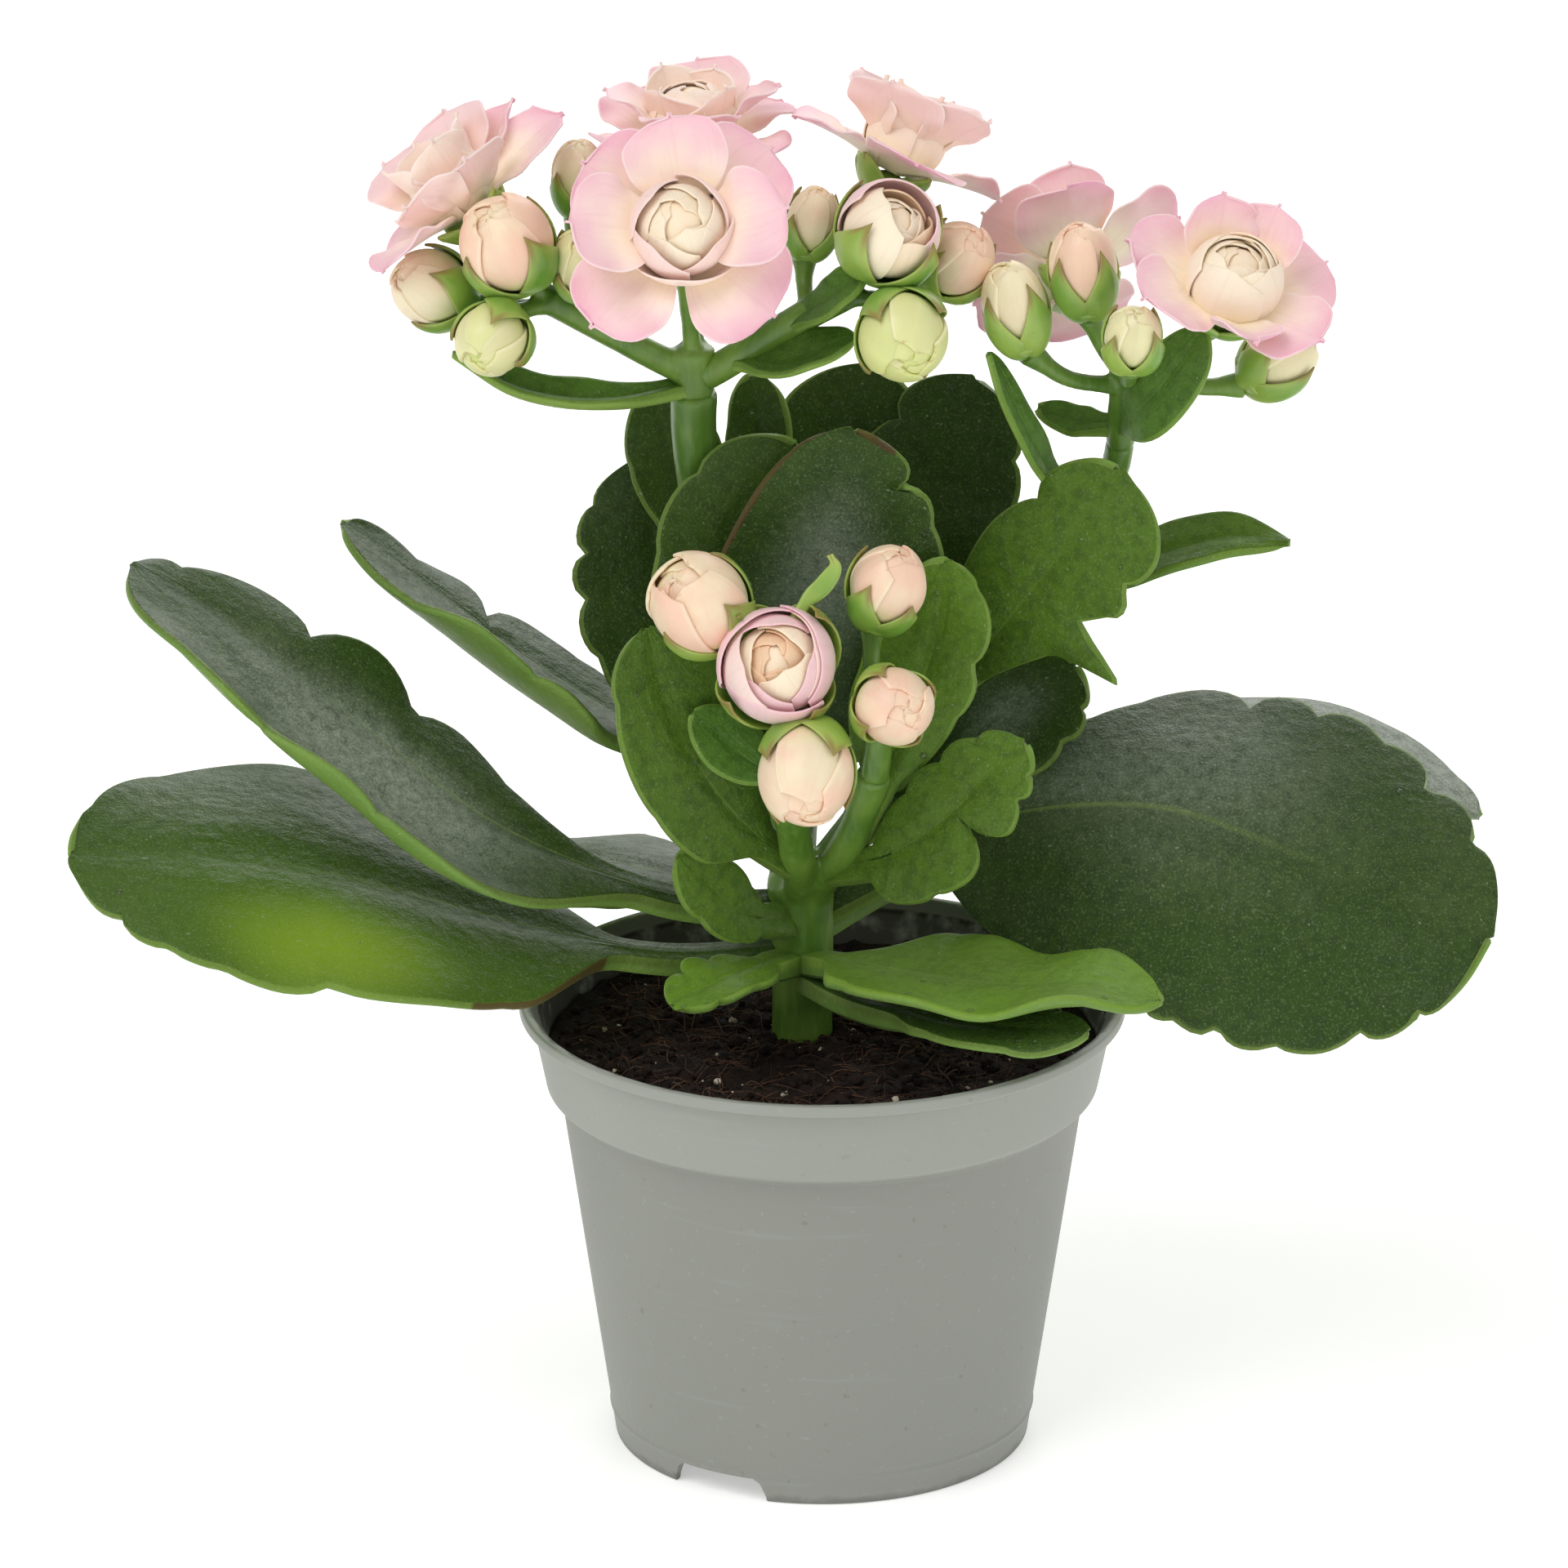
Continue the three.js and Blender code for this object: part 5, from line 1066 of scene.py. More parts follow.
def leaf_finish(name, dark, bright, margin, underside):
    """Thick waxy leaf: greyish bloom that is partly painted sheen, a painted glow of light through the
    blade, fine pale grain, light margin and underside, brown where scorched.
    """
    f = Finish(name, Specular_IOR_Level=0.17, Sheen_Weight=0.03, Sheen_Roughness=0.4,
               Sheen_Tint=colour("e8f0e4"), **SOFT_GREEN)
    across, along, side, tone = f.tint()
    edge = abs(across - 0.5) * 2
    broad = f.noise(55, 2.0)
    fine = f.noise(900, 3.0)
    grain = f.noise(4200, 2.0)
    upper = f.mix(tone + (broad - 0.5) * 0.5, dark, bright)
    upper = f.mix(f.step(f.noise(90, 3.0), 0.45, 0.8) * 0.16, upper, colour("6b7a50"))
    upper = f.mix(f.step(fine, 0.4, 0.7) * (0.4 - tone * 0.28), upper, colour("1e3218"))
    # Painted light: yellow-green where light shines through the blade, from tone 1 up.
    upper = f.mix(f.step(tone, 1.0, 1.6), upper, colour("8fae2c"))
    # A grey veil below tone 0: partly the leaf's real waxy bloom, partly a painted sheen of reflected
    # light.
    bloom_and_sheen = 0.66 + (broad - 0.5) * 0.5 + (grain - 0.5) * 1.3 + (0.45 - fine) * 0.9
    upper = f.mix(f.step(tone, 0.0, -0.9) * bloom_and_sheen, upper, colour("9ba296"))
    rib = f.step(edge, 0.035, 0.0) * f.step(along, 0.85, 0.15)
    upper = f.mix(rib * 0.35, upper, margin)
    rim = f.step(edge + (fine - 0.5) * 0.05, 0.955, 1.0)
    upper = f.mix(rim * 0.4, upper, margin)
    lower = f.mix(f.step(broad, 0.3, 0.7) * 0.4, underside, margin)
    base = f.mix(f.step(side, 0.35, 0.6), lower, upper)
    base = f.mix(f.step(grain, 0.5, 0.72) * 0.17, base, colour("9aab7c"))
    base = f.mix(f.step(f.noise(2100, 1.0), 0.74, 0.8) * 0.2, base, colour("c9d1bd"))
    attribute = {"attribute_type": "GEOMETRY", "attribute_name": "scorch"}
    scorch = f.node("ShaderNodeAttribute", attribute, output=2)
    brown = f.step(scorch + (f.noise(420, 3.0) - 0.5) * 1.1, 0.4, 0.8)
    base = f.mix(brown * 0.8, base, colour("4f3320"))
    rough = 0.42 + (broad - 0.5) * 0.3 + (fine - 0.5) * 0.2
    own = f.node("ShaderNodeCombineXYZ", None, {0: across * 9.0, 1: along * 2.6, 2: broad * 3.0})
    creases = f.noise(1.0, 2.0, own) * f.step(edge, 0.7, 0.2)
    height = fine * 0.9 + grain * 0.35 + f.noise(170, 2.0) * 2.2 + creases * 1.3
    return f.finish(base, rough, height, 0.00035, 0.55)


def green_finish(name, young, old):
    """Stems, sepals and bracts: smooth and waxy, yellower where young."""
    f = Finish(name, Coat_Weight=0.1, Coat_Roughness=0.3, **SOFT_GREEN)
    across, along, _, tone = f.tint()
    broad = f.noise(160, 2.0)
    streak = f.noise(1.0, 3.0, f.places(1500, 1500, 260))
    base = f.mix(f.step(broad, 0.35, 0.65) * 0.6 + tone * 0.3, old, young)
    base = f.mix(f.step(streak, 0.45, 0.7) * 0.2, base, colour("8fae5c"))
    base = f.mix(f.step(f.noise(1300, 2.0), 0.68, 0.78) * 0.3, base, colour("7d6a3a"))
    edge = abs(across - 0.5) * 2
    rim = f.step(edge, 0.86, 1.0) * f.step(along, 0.0, 0.3)
    base = f.mix(rim * 0.45, base, colour("a9bd6a"))
    base = f.mix(f.step(along, 0.75, 1.0) * 0.45, base, colour("b3c06a"))
    tip = f.step(along, 0.84, 0.98) * f.step(edge, 0.4, 0.1)
    base = f.mix(tip * 0.75, base, colour("8d6a3c"))
    height = streak + f.noise(700, 2.0) * 0.7
    return f.finish(base, 0.38 + (broad - 0.5) * 0.2, height, 0.0002, 0.3)


def petal_finish(name, cream, blush, pink):
    """Petals: cream at the foot, pink towards the tip and outside, with fine lengthwise veins and a painted
    highlight along the rim.
    """
    f = Finish(name, Subsurface_Weight=0.12, Subsurface_Radius=(1.0, 0.85, 0.8), Subsurface_Scale=0.0008,
               Sheen_Weight=0.15, Sheen_Roughness=0.5)
    across, along, side, tone = f.tint()
    edge = abs(across - 0.5) * 2
    own = f.node("ShaderNodeCombineXYZ", None, {0: across * 26.0, 1: along * 2.2, 2: tone * 40.0})
    veins = f.noise(1.0, 2.0, own)
    patch = f.noise(260, 2.0)
    outside = 1 - side
    rise = along * 0.9 + edge * edge * 0.22 + (patch - 0.5) * 0.5 + outside * 0.1
    base = f.mix(f.step(tone, 0.0, -0.4), cream, colour("f2bf93"))
    base = f.mix(f.step(rise, 0.18, 0.75) * f.step(tone, 0.0, 0.45), base, blush)
    base = f.mix(f.step(rise, 0.38, 1.3) * f.step(tone, 0.15, 0.95), base, pink)
    base = f.mix(f.step(veins, 0.5, 0.75) * 0.08, base, colour("d68a9c"))
    # A painted highlight: a pale band along the petals' rim.
    base = f.mix(f.step(edge, 0.96, 1.0) * 0.4, base, colour("fbeee6"))
    crease = f.step(edge, 0.07, 0.0) * along
    base = f.mix(crease * 0.1, base, colour("d79aa2"))
    base = f.mix(f.step(f.noise(5200, 1.0), 0.6, 0.75) * 0.12, base, colour("fff6ee"))
    height = veins * 0.8 + f.noise(1500, 2.0) * 0.4
    return f.finish(base, 0.5 + (patch - 0.5) * 0.15, height, 0.0001, 0.35)


def bud_finish(name, cream, peach, green):
    """Buds: cream and peach, greenish at the foot, with pale edges and a brown speck at the tip."""
    f = Finish(name, Subsurface_Weight=0.12, Subsurface_Radius=(1.0, 0.85, 0.7), Subsurface_Scale=0.0008,
               Coat_Weight=0.05, Coat_Roughness=0.3)
    across, along, _, tone = f.tint()
    edge = abs(across - 0.5) * 2
    own = f.node("ShaderNodeCombineXYZ", None, {0: across * 16.0, 1: along * 2.0, 2: tone * 30.0})
    veins = f.noise(1.0, 2.0, own)
    patch = f.noise(230, 2.0)
    base = f.mix(f.step(patch + tone * 0.5, 0.6, 1.1), cream, peach)
    base = f.mix(f.step(tone, 0.45, -0.5), base, green)
    base = f.mix(f.step(along + (patch - 0.5) * 0.5, 0.55, 0.15) * 0.7, base, green)
    base = f.mix(f.step(veins, 0.5, 0.72) * 0.1, base, colour("e8b48c"))
    base = f.mix(f.step(edge, 0.9, 1.0) * 0.35, base, colour("fbeed6"))
    speck = f.step(along + (f.noise(1500, 2.0) - 0.5) * 0.3, 1.0, 1.08)
    base = f.mix(speck * 0.5, base, colour("b08048"))
    height = veins * 0.6 + f.noise(1200, 2.0) * 0.4
    return f.finish(base, 0.42 + (patch - 0.5) * 0.15, height, 0.0002, 0.35)


def pot_finish(plastic, dark_brown):
    """Grey-green moulded plastic with fine specks, faint scuffs, soil marks along the lip, a painted
    highlight on the collar, and darker brown towards the bottom edge.
    """
    f = Finish("pot_plastic", Specular_IOR_Level=0.4)
    height_mm = f.node("ShaderNodeSeparateXYZ", None, {0: f.places(1000, 1000, 1000)}, 2)
    top, collar_foot = POT["height"], POT["height"] - POT["collar_height"]
    broad = f.noise(40, 2.0)
    specks = f.step(f.noise(1400, 2.0), 0.66, 0.72)
    scuffs = f.step(f.noise(1.0, 3.0, f.places(60, 60, 900)), 0.6, 0.78)
    base = f.mix(f.step(broad, 0.3, 0.7) * 0.12, plastic, colour("7e827c"))
    base = f.mix(specks * 0.2, base, colour("a9ada6"))
    base = f.mix(f.step(f.noise(700, 2.0), 0.7, 0.75) * 0.4, base, colour("6f6a5c"))
    base = f.mix(scuffs * 0.12, base, colour("b4bab4"))
    # A painted highlight: the collar band lighter where the light from above falls on it.
    collar = f.step(height_mm, collar_foot - 0.5, collar_foot + 0.2)
    base = f.mix(collar * 0.45, base, colour("a9aca4"))
    grime = f.noise(330, 4.0)
    away = f.node("ShaderNodeVectorMath", {"operation": "LENGTH"}, {0: f.places(1000, 1000, 0)}, 1)
    slope = (POT["lip_radius"] - POT["lip_proud"] - POT["collar_foot_radius"]) / POT["collar_height"]
    lining = POT["collar_foot_radius"] + (height_mm - collar_foot) * slope
    inside = f.step(away - lining, -0.4, -0.65) * f.step(height_mm, collar_foot + 0.7, collar_foot + 1.2)
    ring = f.step(away + (grime - 0.5) * 1.8, POT["lip_radius"] - 0.5, POT["lip_radius"] - 1.1)
    lip = inside * f.step(grime, 0.28, 0.5) + ring * f.step(height_mm, top - 1.8, top - 0.8) * 0.75
    base = f.mix(lip * 0.8, base, dark_brown)
    # Darker brown towards the bottom edge.
    foot = f.step(height_mm + (grime - 0.5) * 2.0, 1.2, 0.2)
    base = f.mix(foot * 0.35, base, dark_brown)
    fine = f.noise(2600, 2.0)
    rough = 0.5 + (broad - 0.5) * 0.12 + scuffs * 0.1 + lip * 0.2
    return f.finish(base, rough, fine + specks * 0.5, 0.00006, 0.4)


def soil_finish(name, dark, light, scale):
    """Peat, and with other colours its fibres and crumbs."""
    f = Finish(name, Specular_IOR_Level=0.25)
    tone = f.tint()[3]
    lumps = f.noise(scale, 5.0, roughness=0.65)
    base = f.mix(f.step(lumps + tone * 0.3, 0.4, 0.8), dark, light)
    base = f.mix(f.step(f.noise(scale * 3.1, 3.0), 0.6, 0.72) * 0.5, base, colour("120a06"))
    return f.finish(base, 0.85 + lumps * 0.1, lumps + f.noise(scale * 4, 3.0) * 0.5, 0.0006, 0.8)


def water_finish():
    """Clear drops."""
    f = Finish("water", Transmission_Weight=1.0, IOR=1.33, Coat_Weight=0.3)
    grain = f.noise(3000, 1.0)
    return f.finish(colour("ffffff"), 0.02 + grain * 0.02)


def floor_finish(tone, glow):
    """Matt pale floor."""
    f = Finish("studio_floor", Specular_IOR_Level=0.15, Emission_Color=(1, 1, 1, 1), Emission_Strength=glow)
    grain = f.noise(60, 3.0)
    base = f.mix(grain * 0.04, tone, colour("e9e9e6"))
    return f.finish(base, 0.85 + grain * 0.05, grain, 0.0002, 0.05)


# ------------------------------------------------------------------ the plant's pieces


def cut(body, points, faces):
    """Cuts a closed shape out of a piece."""
    mesh = bpy.data.meshes.new("cutter")
    rows = [face for group in faces for face in group.tolist()]
    mesh.from_pydata((points * MM).tolist(), [], rows)
    cutter = bpy.data.objects.new("cutter", mesh)
    bpy.context.scene.collection.objects.link(cutter)
    modifier = body.modifiers.new("Cut", "BOOLEAN")
    modifier.operation = "DIFFERENCE"
    modifier.solver = "EXACT"
    modifier.object = cutter
    done = bpy.data.meshes.new_from_object(body.evaluated_get(bpy.context.evaluated_depsgraph_get()))
    body.modifiers.clear()
    body.data = done
    bpy.data.objects.remove(cutter)
    bpy.data.meshes.remove(mesh)


def notch_cutter(turn):
    """A bar with a rounded, slightly tapered section, from inside the foot to outside it."""
    half, tall = POT["notch_width"] / 2, POT["skirt"] + 0.25
    section = [(-half - 0.3, -2), (-half, 0.6), (-half + 0.5, tall - 0.5), (-half + 1.2, tall)]
    section += [(-x, z) for x, z in reversed(section)]
    ends = (-POT["foot_radius"] - 3, -POT["foot_radius"] + 3)
    points = np.array([(x, y, z) for y in ends for x, z in section])
    count = len(section)
    walls = []
    for k in range(count):
        after = (k + 1) % count
        walls.append(np.array([[k, after, count + after, count + k]]))
    caps = [np.array([list(range(count))[::-1]]), np.array([list(range(count, 2 * count))])]
    return points @ turned_about_z(turn).T, walls + caps


def build_pot(settings):
    p = POT
    lip, height, foot, wall = settings.lip_radius / MM, settings.height / MM, p["foot_radius"], p["wall"]
    collar_foot, lip_foot = height - p["collar_height"], height - p["lip_height"]
    skirt, rest, collar = p["skirt"], p["rest_radius"], p["collar_foot_radius"]
    outside = [
        (0, 0), (rest, 0), (rest + 1.5, skirt), (foot - wall, skirt), (foot - wall, 0), (foot, 0),
        (foot + 0.4, p["ridge_height"] - 0.35), (foot + 0.62, p["ridge_height"]),
        (foot + 0.5, p["ridge_height"] + 0.35), (p["wall_top_radius"], collar_foot - 0.7),
        (collar, collar_foot + 0.3), (lip - p["lip_proud"], lip_foot), (lip, lip_foot + 0.2),
        (lip - 0.1, height),
    ]
    inside = [
        (lip - 1.0, height), (lip - p["lip_proud"] - wall, lip_foot), (collar - wall, collar_foot + 0.1),
        (p["wall_top_radius"] - wall, collar_foot - 1), (foot + 0.4 - wall, skirt + wall),
        (rest + 2, skirt + wall), (rest + 0.6, wall), (0, wall),
    ]
    points, faces = lathe(rounded(outside + inside, 0.28, 1.4), 176)
    pile = Pile()
    pile.add(points, faces, (0.5, 0.5, 1, 0.5))
    finish = pot_finish(settings.colour, colour("2b211b"))
    pot = pile.piece("fine_pot", [finish], "pot", "pot")
    for turn in p["notch_turns"]:
        cut(pot, *notch_cutter(turn))
    for hole in range(p["drain_count"]):
        points, faces = lathe([(0, -2), (p["drain_radius"], -2), (p["drain_radius"], 6), (0, 6)], 40)
        angle = 2 * math.pi * (hole + 0.5) / p["drain_count"]
        middle = np.array([math.cos(angle), math.sin(angle), 0]) * p["drain_ring"]
        cut(pot, points + middle, faces)
    pot.data.shade_smooth()
    pot.data.set_sharp_from_angle(angle=math.radians(42))


def scattered(random, radius):
    """A random place on the soil and its height."""
    away = radius * math.sqrt(random.uniform())
    angle = random.uniform(0, 2 * math.pi)
    x, y = away * math.cos(angle), away * math.sin(angle)
    return x, y, soil_height(x, y)


def soil_height(x, y):
    """The level of the soil: a slight mound with lumps."""
    away = math.hypot(x, y)
    lumps = noise.fractal((x * 0.35, y * 0.35, 3.1), 0.7, 2.1, 5)
    return SOIL_LEVEL + 0.7 - 0.035 * away + 0.75 * lumps


def build_soil(settings):
    random = np.random.default_rng(SEEDS["soil"])
    p = POT
    collar_foot = p["height"] - p["collar_height"]
    floor = p["skirt"] + p["wall"] + GAP
    rim = p["collar_foot_radius"] - p["wall"] + 0.75
    profile = [
        (0, p["wall"] + GAP), (p["rest_radius"], p["wall"] + GAP), (p["rest_radius"] + 1.6, floor),
        (p["foot_radius"] - p["wall"], floor), (p["wall_top_radius"] - p["wall"] - 0.65, collar_foot - 1),
        (rim - 0.9, collar_foot + 0.6), (rim, SOIL_LEVEL - 0.6),
    ]
    profile += [(size, SOIL_LEVEL) for size in np.linspace(rim - 0.3, 0, 64)]
    points, faces = lathe(profile, 200)
    top = points[:, 2] > SOIL_LEVEL - 0.1
    points[top, 2] = [soil_height(x, y) for x, y, z in points[top]]
    pile = Pile()
    pile.add(points, faces, (0.5, 0.5, 1, 0.3), PEAT_FACE)
    for index in range(settings.crumbs):
        add_crumb(pile, index, rim, random)
    for _ in range(settings.fibres):
        add_fibre(pile, rim, random)
    finishes = [
        soil_finish("peat", settings.colour, colour("2b1d17"), 420),
        soil_finish("peat_fibre", colour("3f2a20"), colour("6e5240"), 900),
        soil_finish("pale_grit", colour("b8ab90"), colour("e6ddc8"), 900),
    ]
    pile.piece("fine_soil", finishes, "soil", "soil")


def add_crumb(pile, index, rim, random):
    """A knobbly crumb of peat, and every 19th time a smaller one of pale grit."""
    x, y, z = scattered(random, rim - 1.2)
    size = 0.15 + 0.6 * random.uniform() ** 3
    points, faces = egg(size, 0.75, 7, 6)
    points *= 1 + 0.28 * random.uniform(-1, 1, (len(points), 1))
    kind = PEAT_FACE
    if index % 19 == 0:
        kind = GRIT_FACE
        points *= 0.6
    axis = random.normal(0, 1, 3) + [0, 0, 1.5]
    points = turned(points, (x, y, z + size * 0.25), axis)
    pile.add(points, faces, (0.5, 0.5, 1, random.uniform()), kind)


def add_fibre(pile, rim, random):
    """A thin fibre that wanders over the soil, and is left out where little of it lies inside the pot."""
    x, y, _ = scattered(random, rim - 3)
    way = random.uniform(0, 2 * math.pi)
    length = random.uniform(1.5, 6.5)
    line = []
    for step in range(4):
        x, y = x + length / 3 * math.cos(way), y + length / 3 * math.sin(way)
        if math.hypot(x, y) > rim - 0.8:
            break
        lift = 0.08 + 0.7 * random.uniform() ** 2 * (step in (1, 2))
        line.append((x, y, soil_height(x, y) + lift))
        way += random.normal(0, 0.6)
    if len(line) > 2:
        thick = random.uniform(0.035, 0.09)
        points, faces = tube(line, [thick, thick * 0.5], 5, 8)
        pile.add(points, faces, (0.5, 0.5, 1, random.uniform()), FIBRE_FACE)


def add_blade(pile, shape, kind=0, **more):
    """Adds a leaf or bract, and returns its upper side and the way each point of that looks."""
    grid, deep, tint = blade_grid(**{**shape, **more})
    return slab(pile, grid, deep, tint, kind)


def add_bracts(pile, holder):
    for name, shape in BRACTS.items():
        if name.split("_")[0] == holder:
            add_blade(pile, shape, BRACT_FACE, thick=1.2, edge=0.6, stalk_wide=1.3, stalk_thick=1.6,
                      rows=30, columns=13, groove=0.35, ripple=0.15, tone=0.5, seed=len(name))


def build_stem(settings):
    bars = [tube(MAIN["line"], [3.1, 3.25, 2.95, 3.1, 3.35], 24, 24)]
    for arm in ARMS:
        swelling = np.array([1.12, 0.98, 1.04, 0.97, 1.05])
        bars.append(tube(arm["line"], arm["radius"] * swelling, 20, 40))
    points, faces = melted(bars, 0.38)
    pile = Pile()
    pile.add(points, faces, (0.5, 0, 1, 0.25))
    add_bracts(pile, "stem")
    skin = green_finish("stem_skin", settings.young, settings.old)
    bract = leaf_finish("bract_skin", *map(colour, BRACT_GREENS))
    pile.piece("fine_stem", [skin, bract], "stem", "stem")


def stalk_bar(spray, joint, at, axis, drop):
    """The stalk of a flower or bud, from its branch to a point that lies a drop under its place."""
    branch, share = joint
    start = Line(BRANCHES[spray][branch]["line"]).at(np.array([share]))[0]
    ahead = unit(axis)
    end = np.array(at, float) - ahead * drop
    bend = end - ahead * 0.35 * np.linalg.norm(end - start)
    line = [start, (start + bend) / 2 * 0.75 + end * 0.25, end]
    size = STALK_RADIUS
    return tube(line, [size * 1.25, size, size, size * 1.1, size * 1.7], 16, 26)


def add_calyx(pile, bud, random):
    """Four pointed sepals that hug a bud, on a small cup."""
    radius, tall = bud["radius"] + 0.2, bud["tall"]
    outside = [(radius + 0.55, -90 + 4 * k) for k in range(12)]
    inside = [(radius - 0.05, -46 - 4 * k) for k in range(12)]
    profile = []
    for size, degrees in outside + inside:
        angle = math.radians(degrees)
        profile.append((size * math.cos(angle), size * tall * math.sin(angle)))
    profile[0] = (0, profile[0][1])
    profile[-1] = (0, profile[-1][1])
    points, faces = lathe(profile, 28)
    pile.add(turned(points, bud["at"], bud["axis"]), faces, (0.5, 0, 1, 0.6), SEPAL_FACE)
    u = np.linspace(-1, 1, 17)[None, :]
    v = np.linspace(0, 1, 24)[:, None]
    deep = 0.16 + 0.55 * (1 - u**2) * (1 - 0.85 * v**2) + 0.2 * (1 - v)
    for index in range(4):
        high = 26 + random.uniform(-16, 16)
        turn = 45 + 90 * index + random.normal(0, 3)
        grid, tint = shell_grid(
            radius + deep / 2, turn, 47, -86, high, tall, drop=high + 34, sharp=0.82, proud=0.0,
            flare=random.uniform(0.0, 0.06), twist=random.uniform(-9, 9), rows=24, columns=17,
            tone=random.uniform(0.2, 0.9))
        grid = turned(grid.reshape(-1, 3), bud["at"], bud["axis"]).reshape(grid.shape)
        slab(pile, grid, deep, tint, SEPAL_FACE, SEPAL_UNDER)


def add_star(pile, name, flower, random):
    """The four sepals under a flower: a star where it is open, else a calyx like a bud's."""
    at, axis = flower["at"], flower["axis"]
    whorls, shells = FLOWER_FORMS[name]
    if not whorls:
        middle = np.array(at) + unit(axis) * heart_height(flower, shells)
        radius = flower["heart"] * shells[0]["size"] + 0.1
        add_calyx(pile, dict(radius=radius, tall=1.0, at=middle, axis=axis), random)
        return
    points, faces = egg(2.0, 0.85, 20, 11)
    pile.add(turned(points - [0, 0, 1.0], at, axis), faces, (0.5, 0, 1, 0.5), SEPAL_FACE)
    for index in range(4):
        turn = math.radians(45 + 90 * index + random.normal(0, 4))
        side_view = ((0.5, -2.2), (2.1, -1.5), (3.6, -0.1), (4.9, 1.4 + random.normal(0, 0.2)))
        rib = [(out * math.cos(turn), out * math.sin(turn), up) for out, up in side_view]
        look = (-0.6 * math.cos(turn), -0.6 * math.sin(turn), 0.8)
        grid, deep, tint = blade_grid(
            rib, (look, look), (2.1, 2.1), 0.03, 0.36, turn=(40, 40), thick=0.9, edge=0.3, blunt=0.8,
            stalk_wide=1.0, stalk_thick=1.0, rows=20, columns=11, tone=0.6, seed=index)
        grid = turned(grid.reshape(-1, 3), at, axis).reshape(grid.shape)
        slab(pile, grid, deep, tint, SEPAL_FACE, SEPAL_UNDER)


def heart_height(flower, shells):
    """How far above its foot the heart of a flower has its middle."""
    return flower["heart"] * shells[-1]["size"] + 1.0


def build_sprays(settings):
    stem = green_finish("branch_skin", settings.young, settings.old)
    bract = leaf_finish("spray_bract_skin", *map(colour, BRACT_GREENS))
    sepal = green_finish("sepal_skin", *map(colour, SEPAL_GREENS))
    for seed, (spray, branches) in enumerate(BRANCHES.items(), SEEDS["sprays"]):
        random = np.random.default_rng(seed)
        swelling = np.array([1.05, 0.97, 1.1])
        bars = [tube(branch["line"], branch["radius"] * swelling, 18, 24) for branch in branches]
        pile = Pile()
        for bud in BUDS.values():
            if bud["spray"] == spray:
                add_calyx(pile, bud, random)
                drop = (bud["radius"] + 0.5) * bud["tall"]
                bars.append(stalk_bar(spray, bud["joint"], bud["at"], bud["axis"], drop))
        for name, flower in FLOWERS.items():
            if flower["spray"] == spray:
                add_star(pile, name, flower, random)
                bars.append(stalk_bar(spray, flower["joint"], flower["at"], flower["axis"], FLOWER_FOOT))
        if spray == "front":
            grid, deep, tint = blade_grid(**CURLED_SEPAL, petiole=0.05, thick=0.7, edge=0.25, blunt=0.9,
                                          stalk_wide=0.8, stalk_thick=0.8, rows=30, columns=9, tone=0.8)
            slab(pile, grid, deep, tint, SEPAL_FACE, SEPAL_UNDER)
        points, faces = melted(bars, 0.3)
        pile.add(points, faces, (0.5, 0, 1, 0.4))
        add_bracts(pile, spray)
        pile.piece(f"fine_spray_{spray}", [stem, bract, sepal], "stem", f"spray_{spray}")


def add_shell(pile, grid, thick, tint, at, axis, spin=0, lift=0.0):
    """Adds a petal that was built round the origin to its flower or bud."""
    points = turned(grid.reshape(-1, 3) + [0, 0, lift], at, axis, spin)
    slab(pile, points.reshape(grid.shape), thick, tint)


def build_buds(settings):
    finish = bud_finish("bud_skin", settings.cream, settings.peach, settings.green)
    for seed, (name, bud) in enumerate(BUDS.items(), SEEDS["buds"]):
        random = np.random.default_rng(seed)
        pile = Pile()
        radius, tall, at, axis = bud["radius"], bud["tall"], bud["at"], bud["axis"]
        ripe = RIPENESS.get(name, RIPE)
        first = random.uniform(0, 90)
        for ring, (size, high) in enumerate([(0.95, 72), (0.9, 84)]):
            loose = 0 if ring else LOOSE.get(name, 0)
            for index in range(4):
                turn = first + 45 * ring + 90 * index + random.normal(0, 4)
                grid, tint = shell_grid(
                    radius * size, turn, 62, -72, high + random.normal(0, 4), tall, drop=20, sharp=1.5,
                    flare=loose + random.uniform(-0.02, 0.02), twist=14, rows=20, columns=17,
                    tone=ripe + random.uniform(0, 0.3))
                add_shell(pile, grid, 0.34, tint, at, axis)
        points, faces = egg(radius * 0.9, tall)
        pile.add(turned(points, at, axis), faces, (0.5, 0.9, 1, ripe))
        pile.piece(f"fine_{name}", [finish], "bud", name)


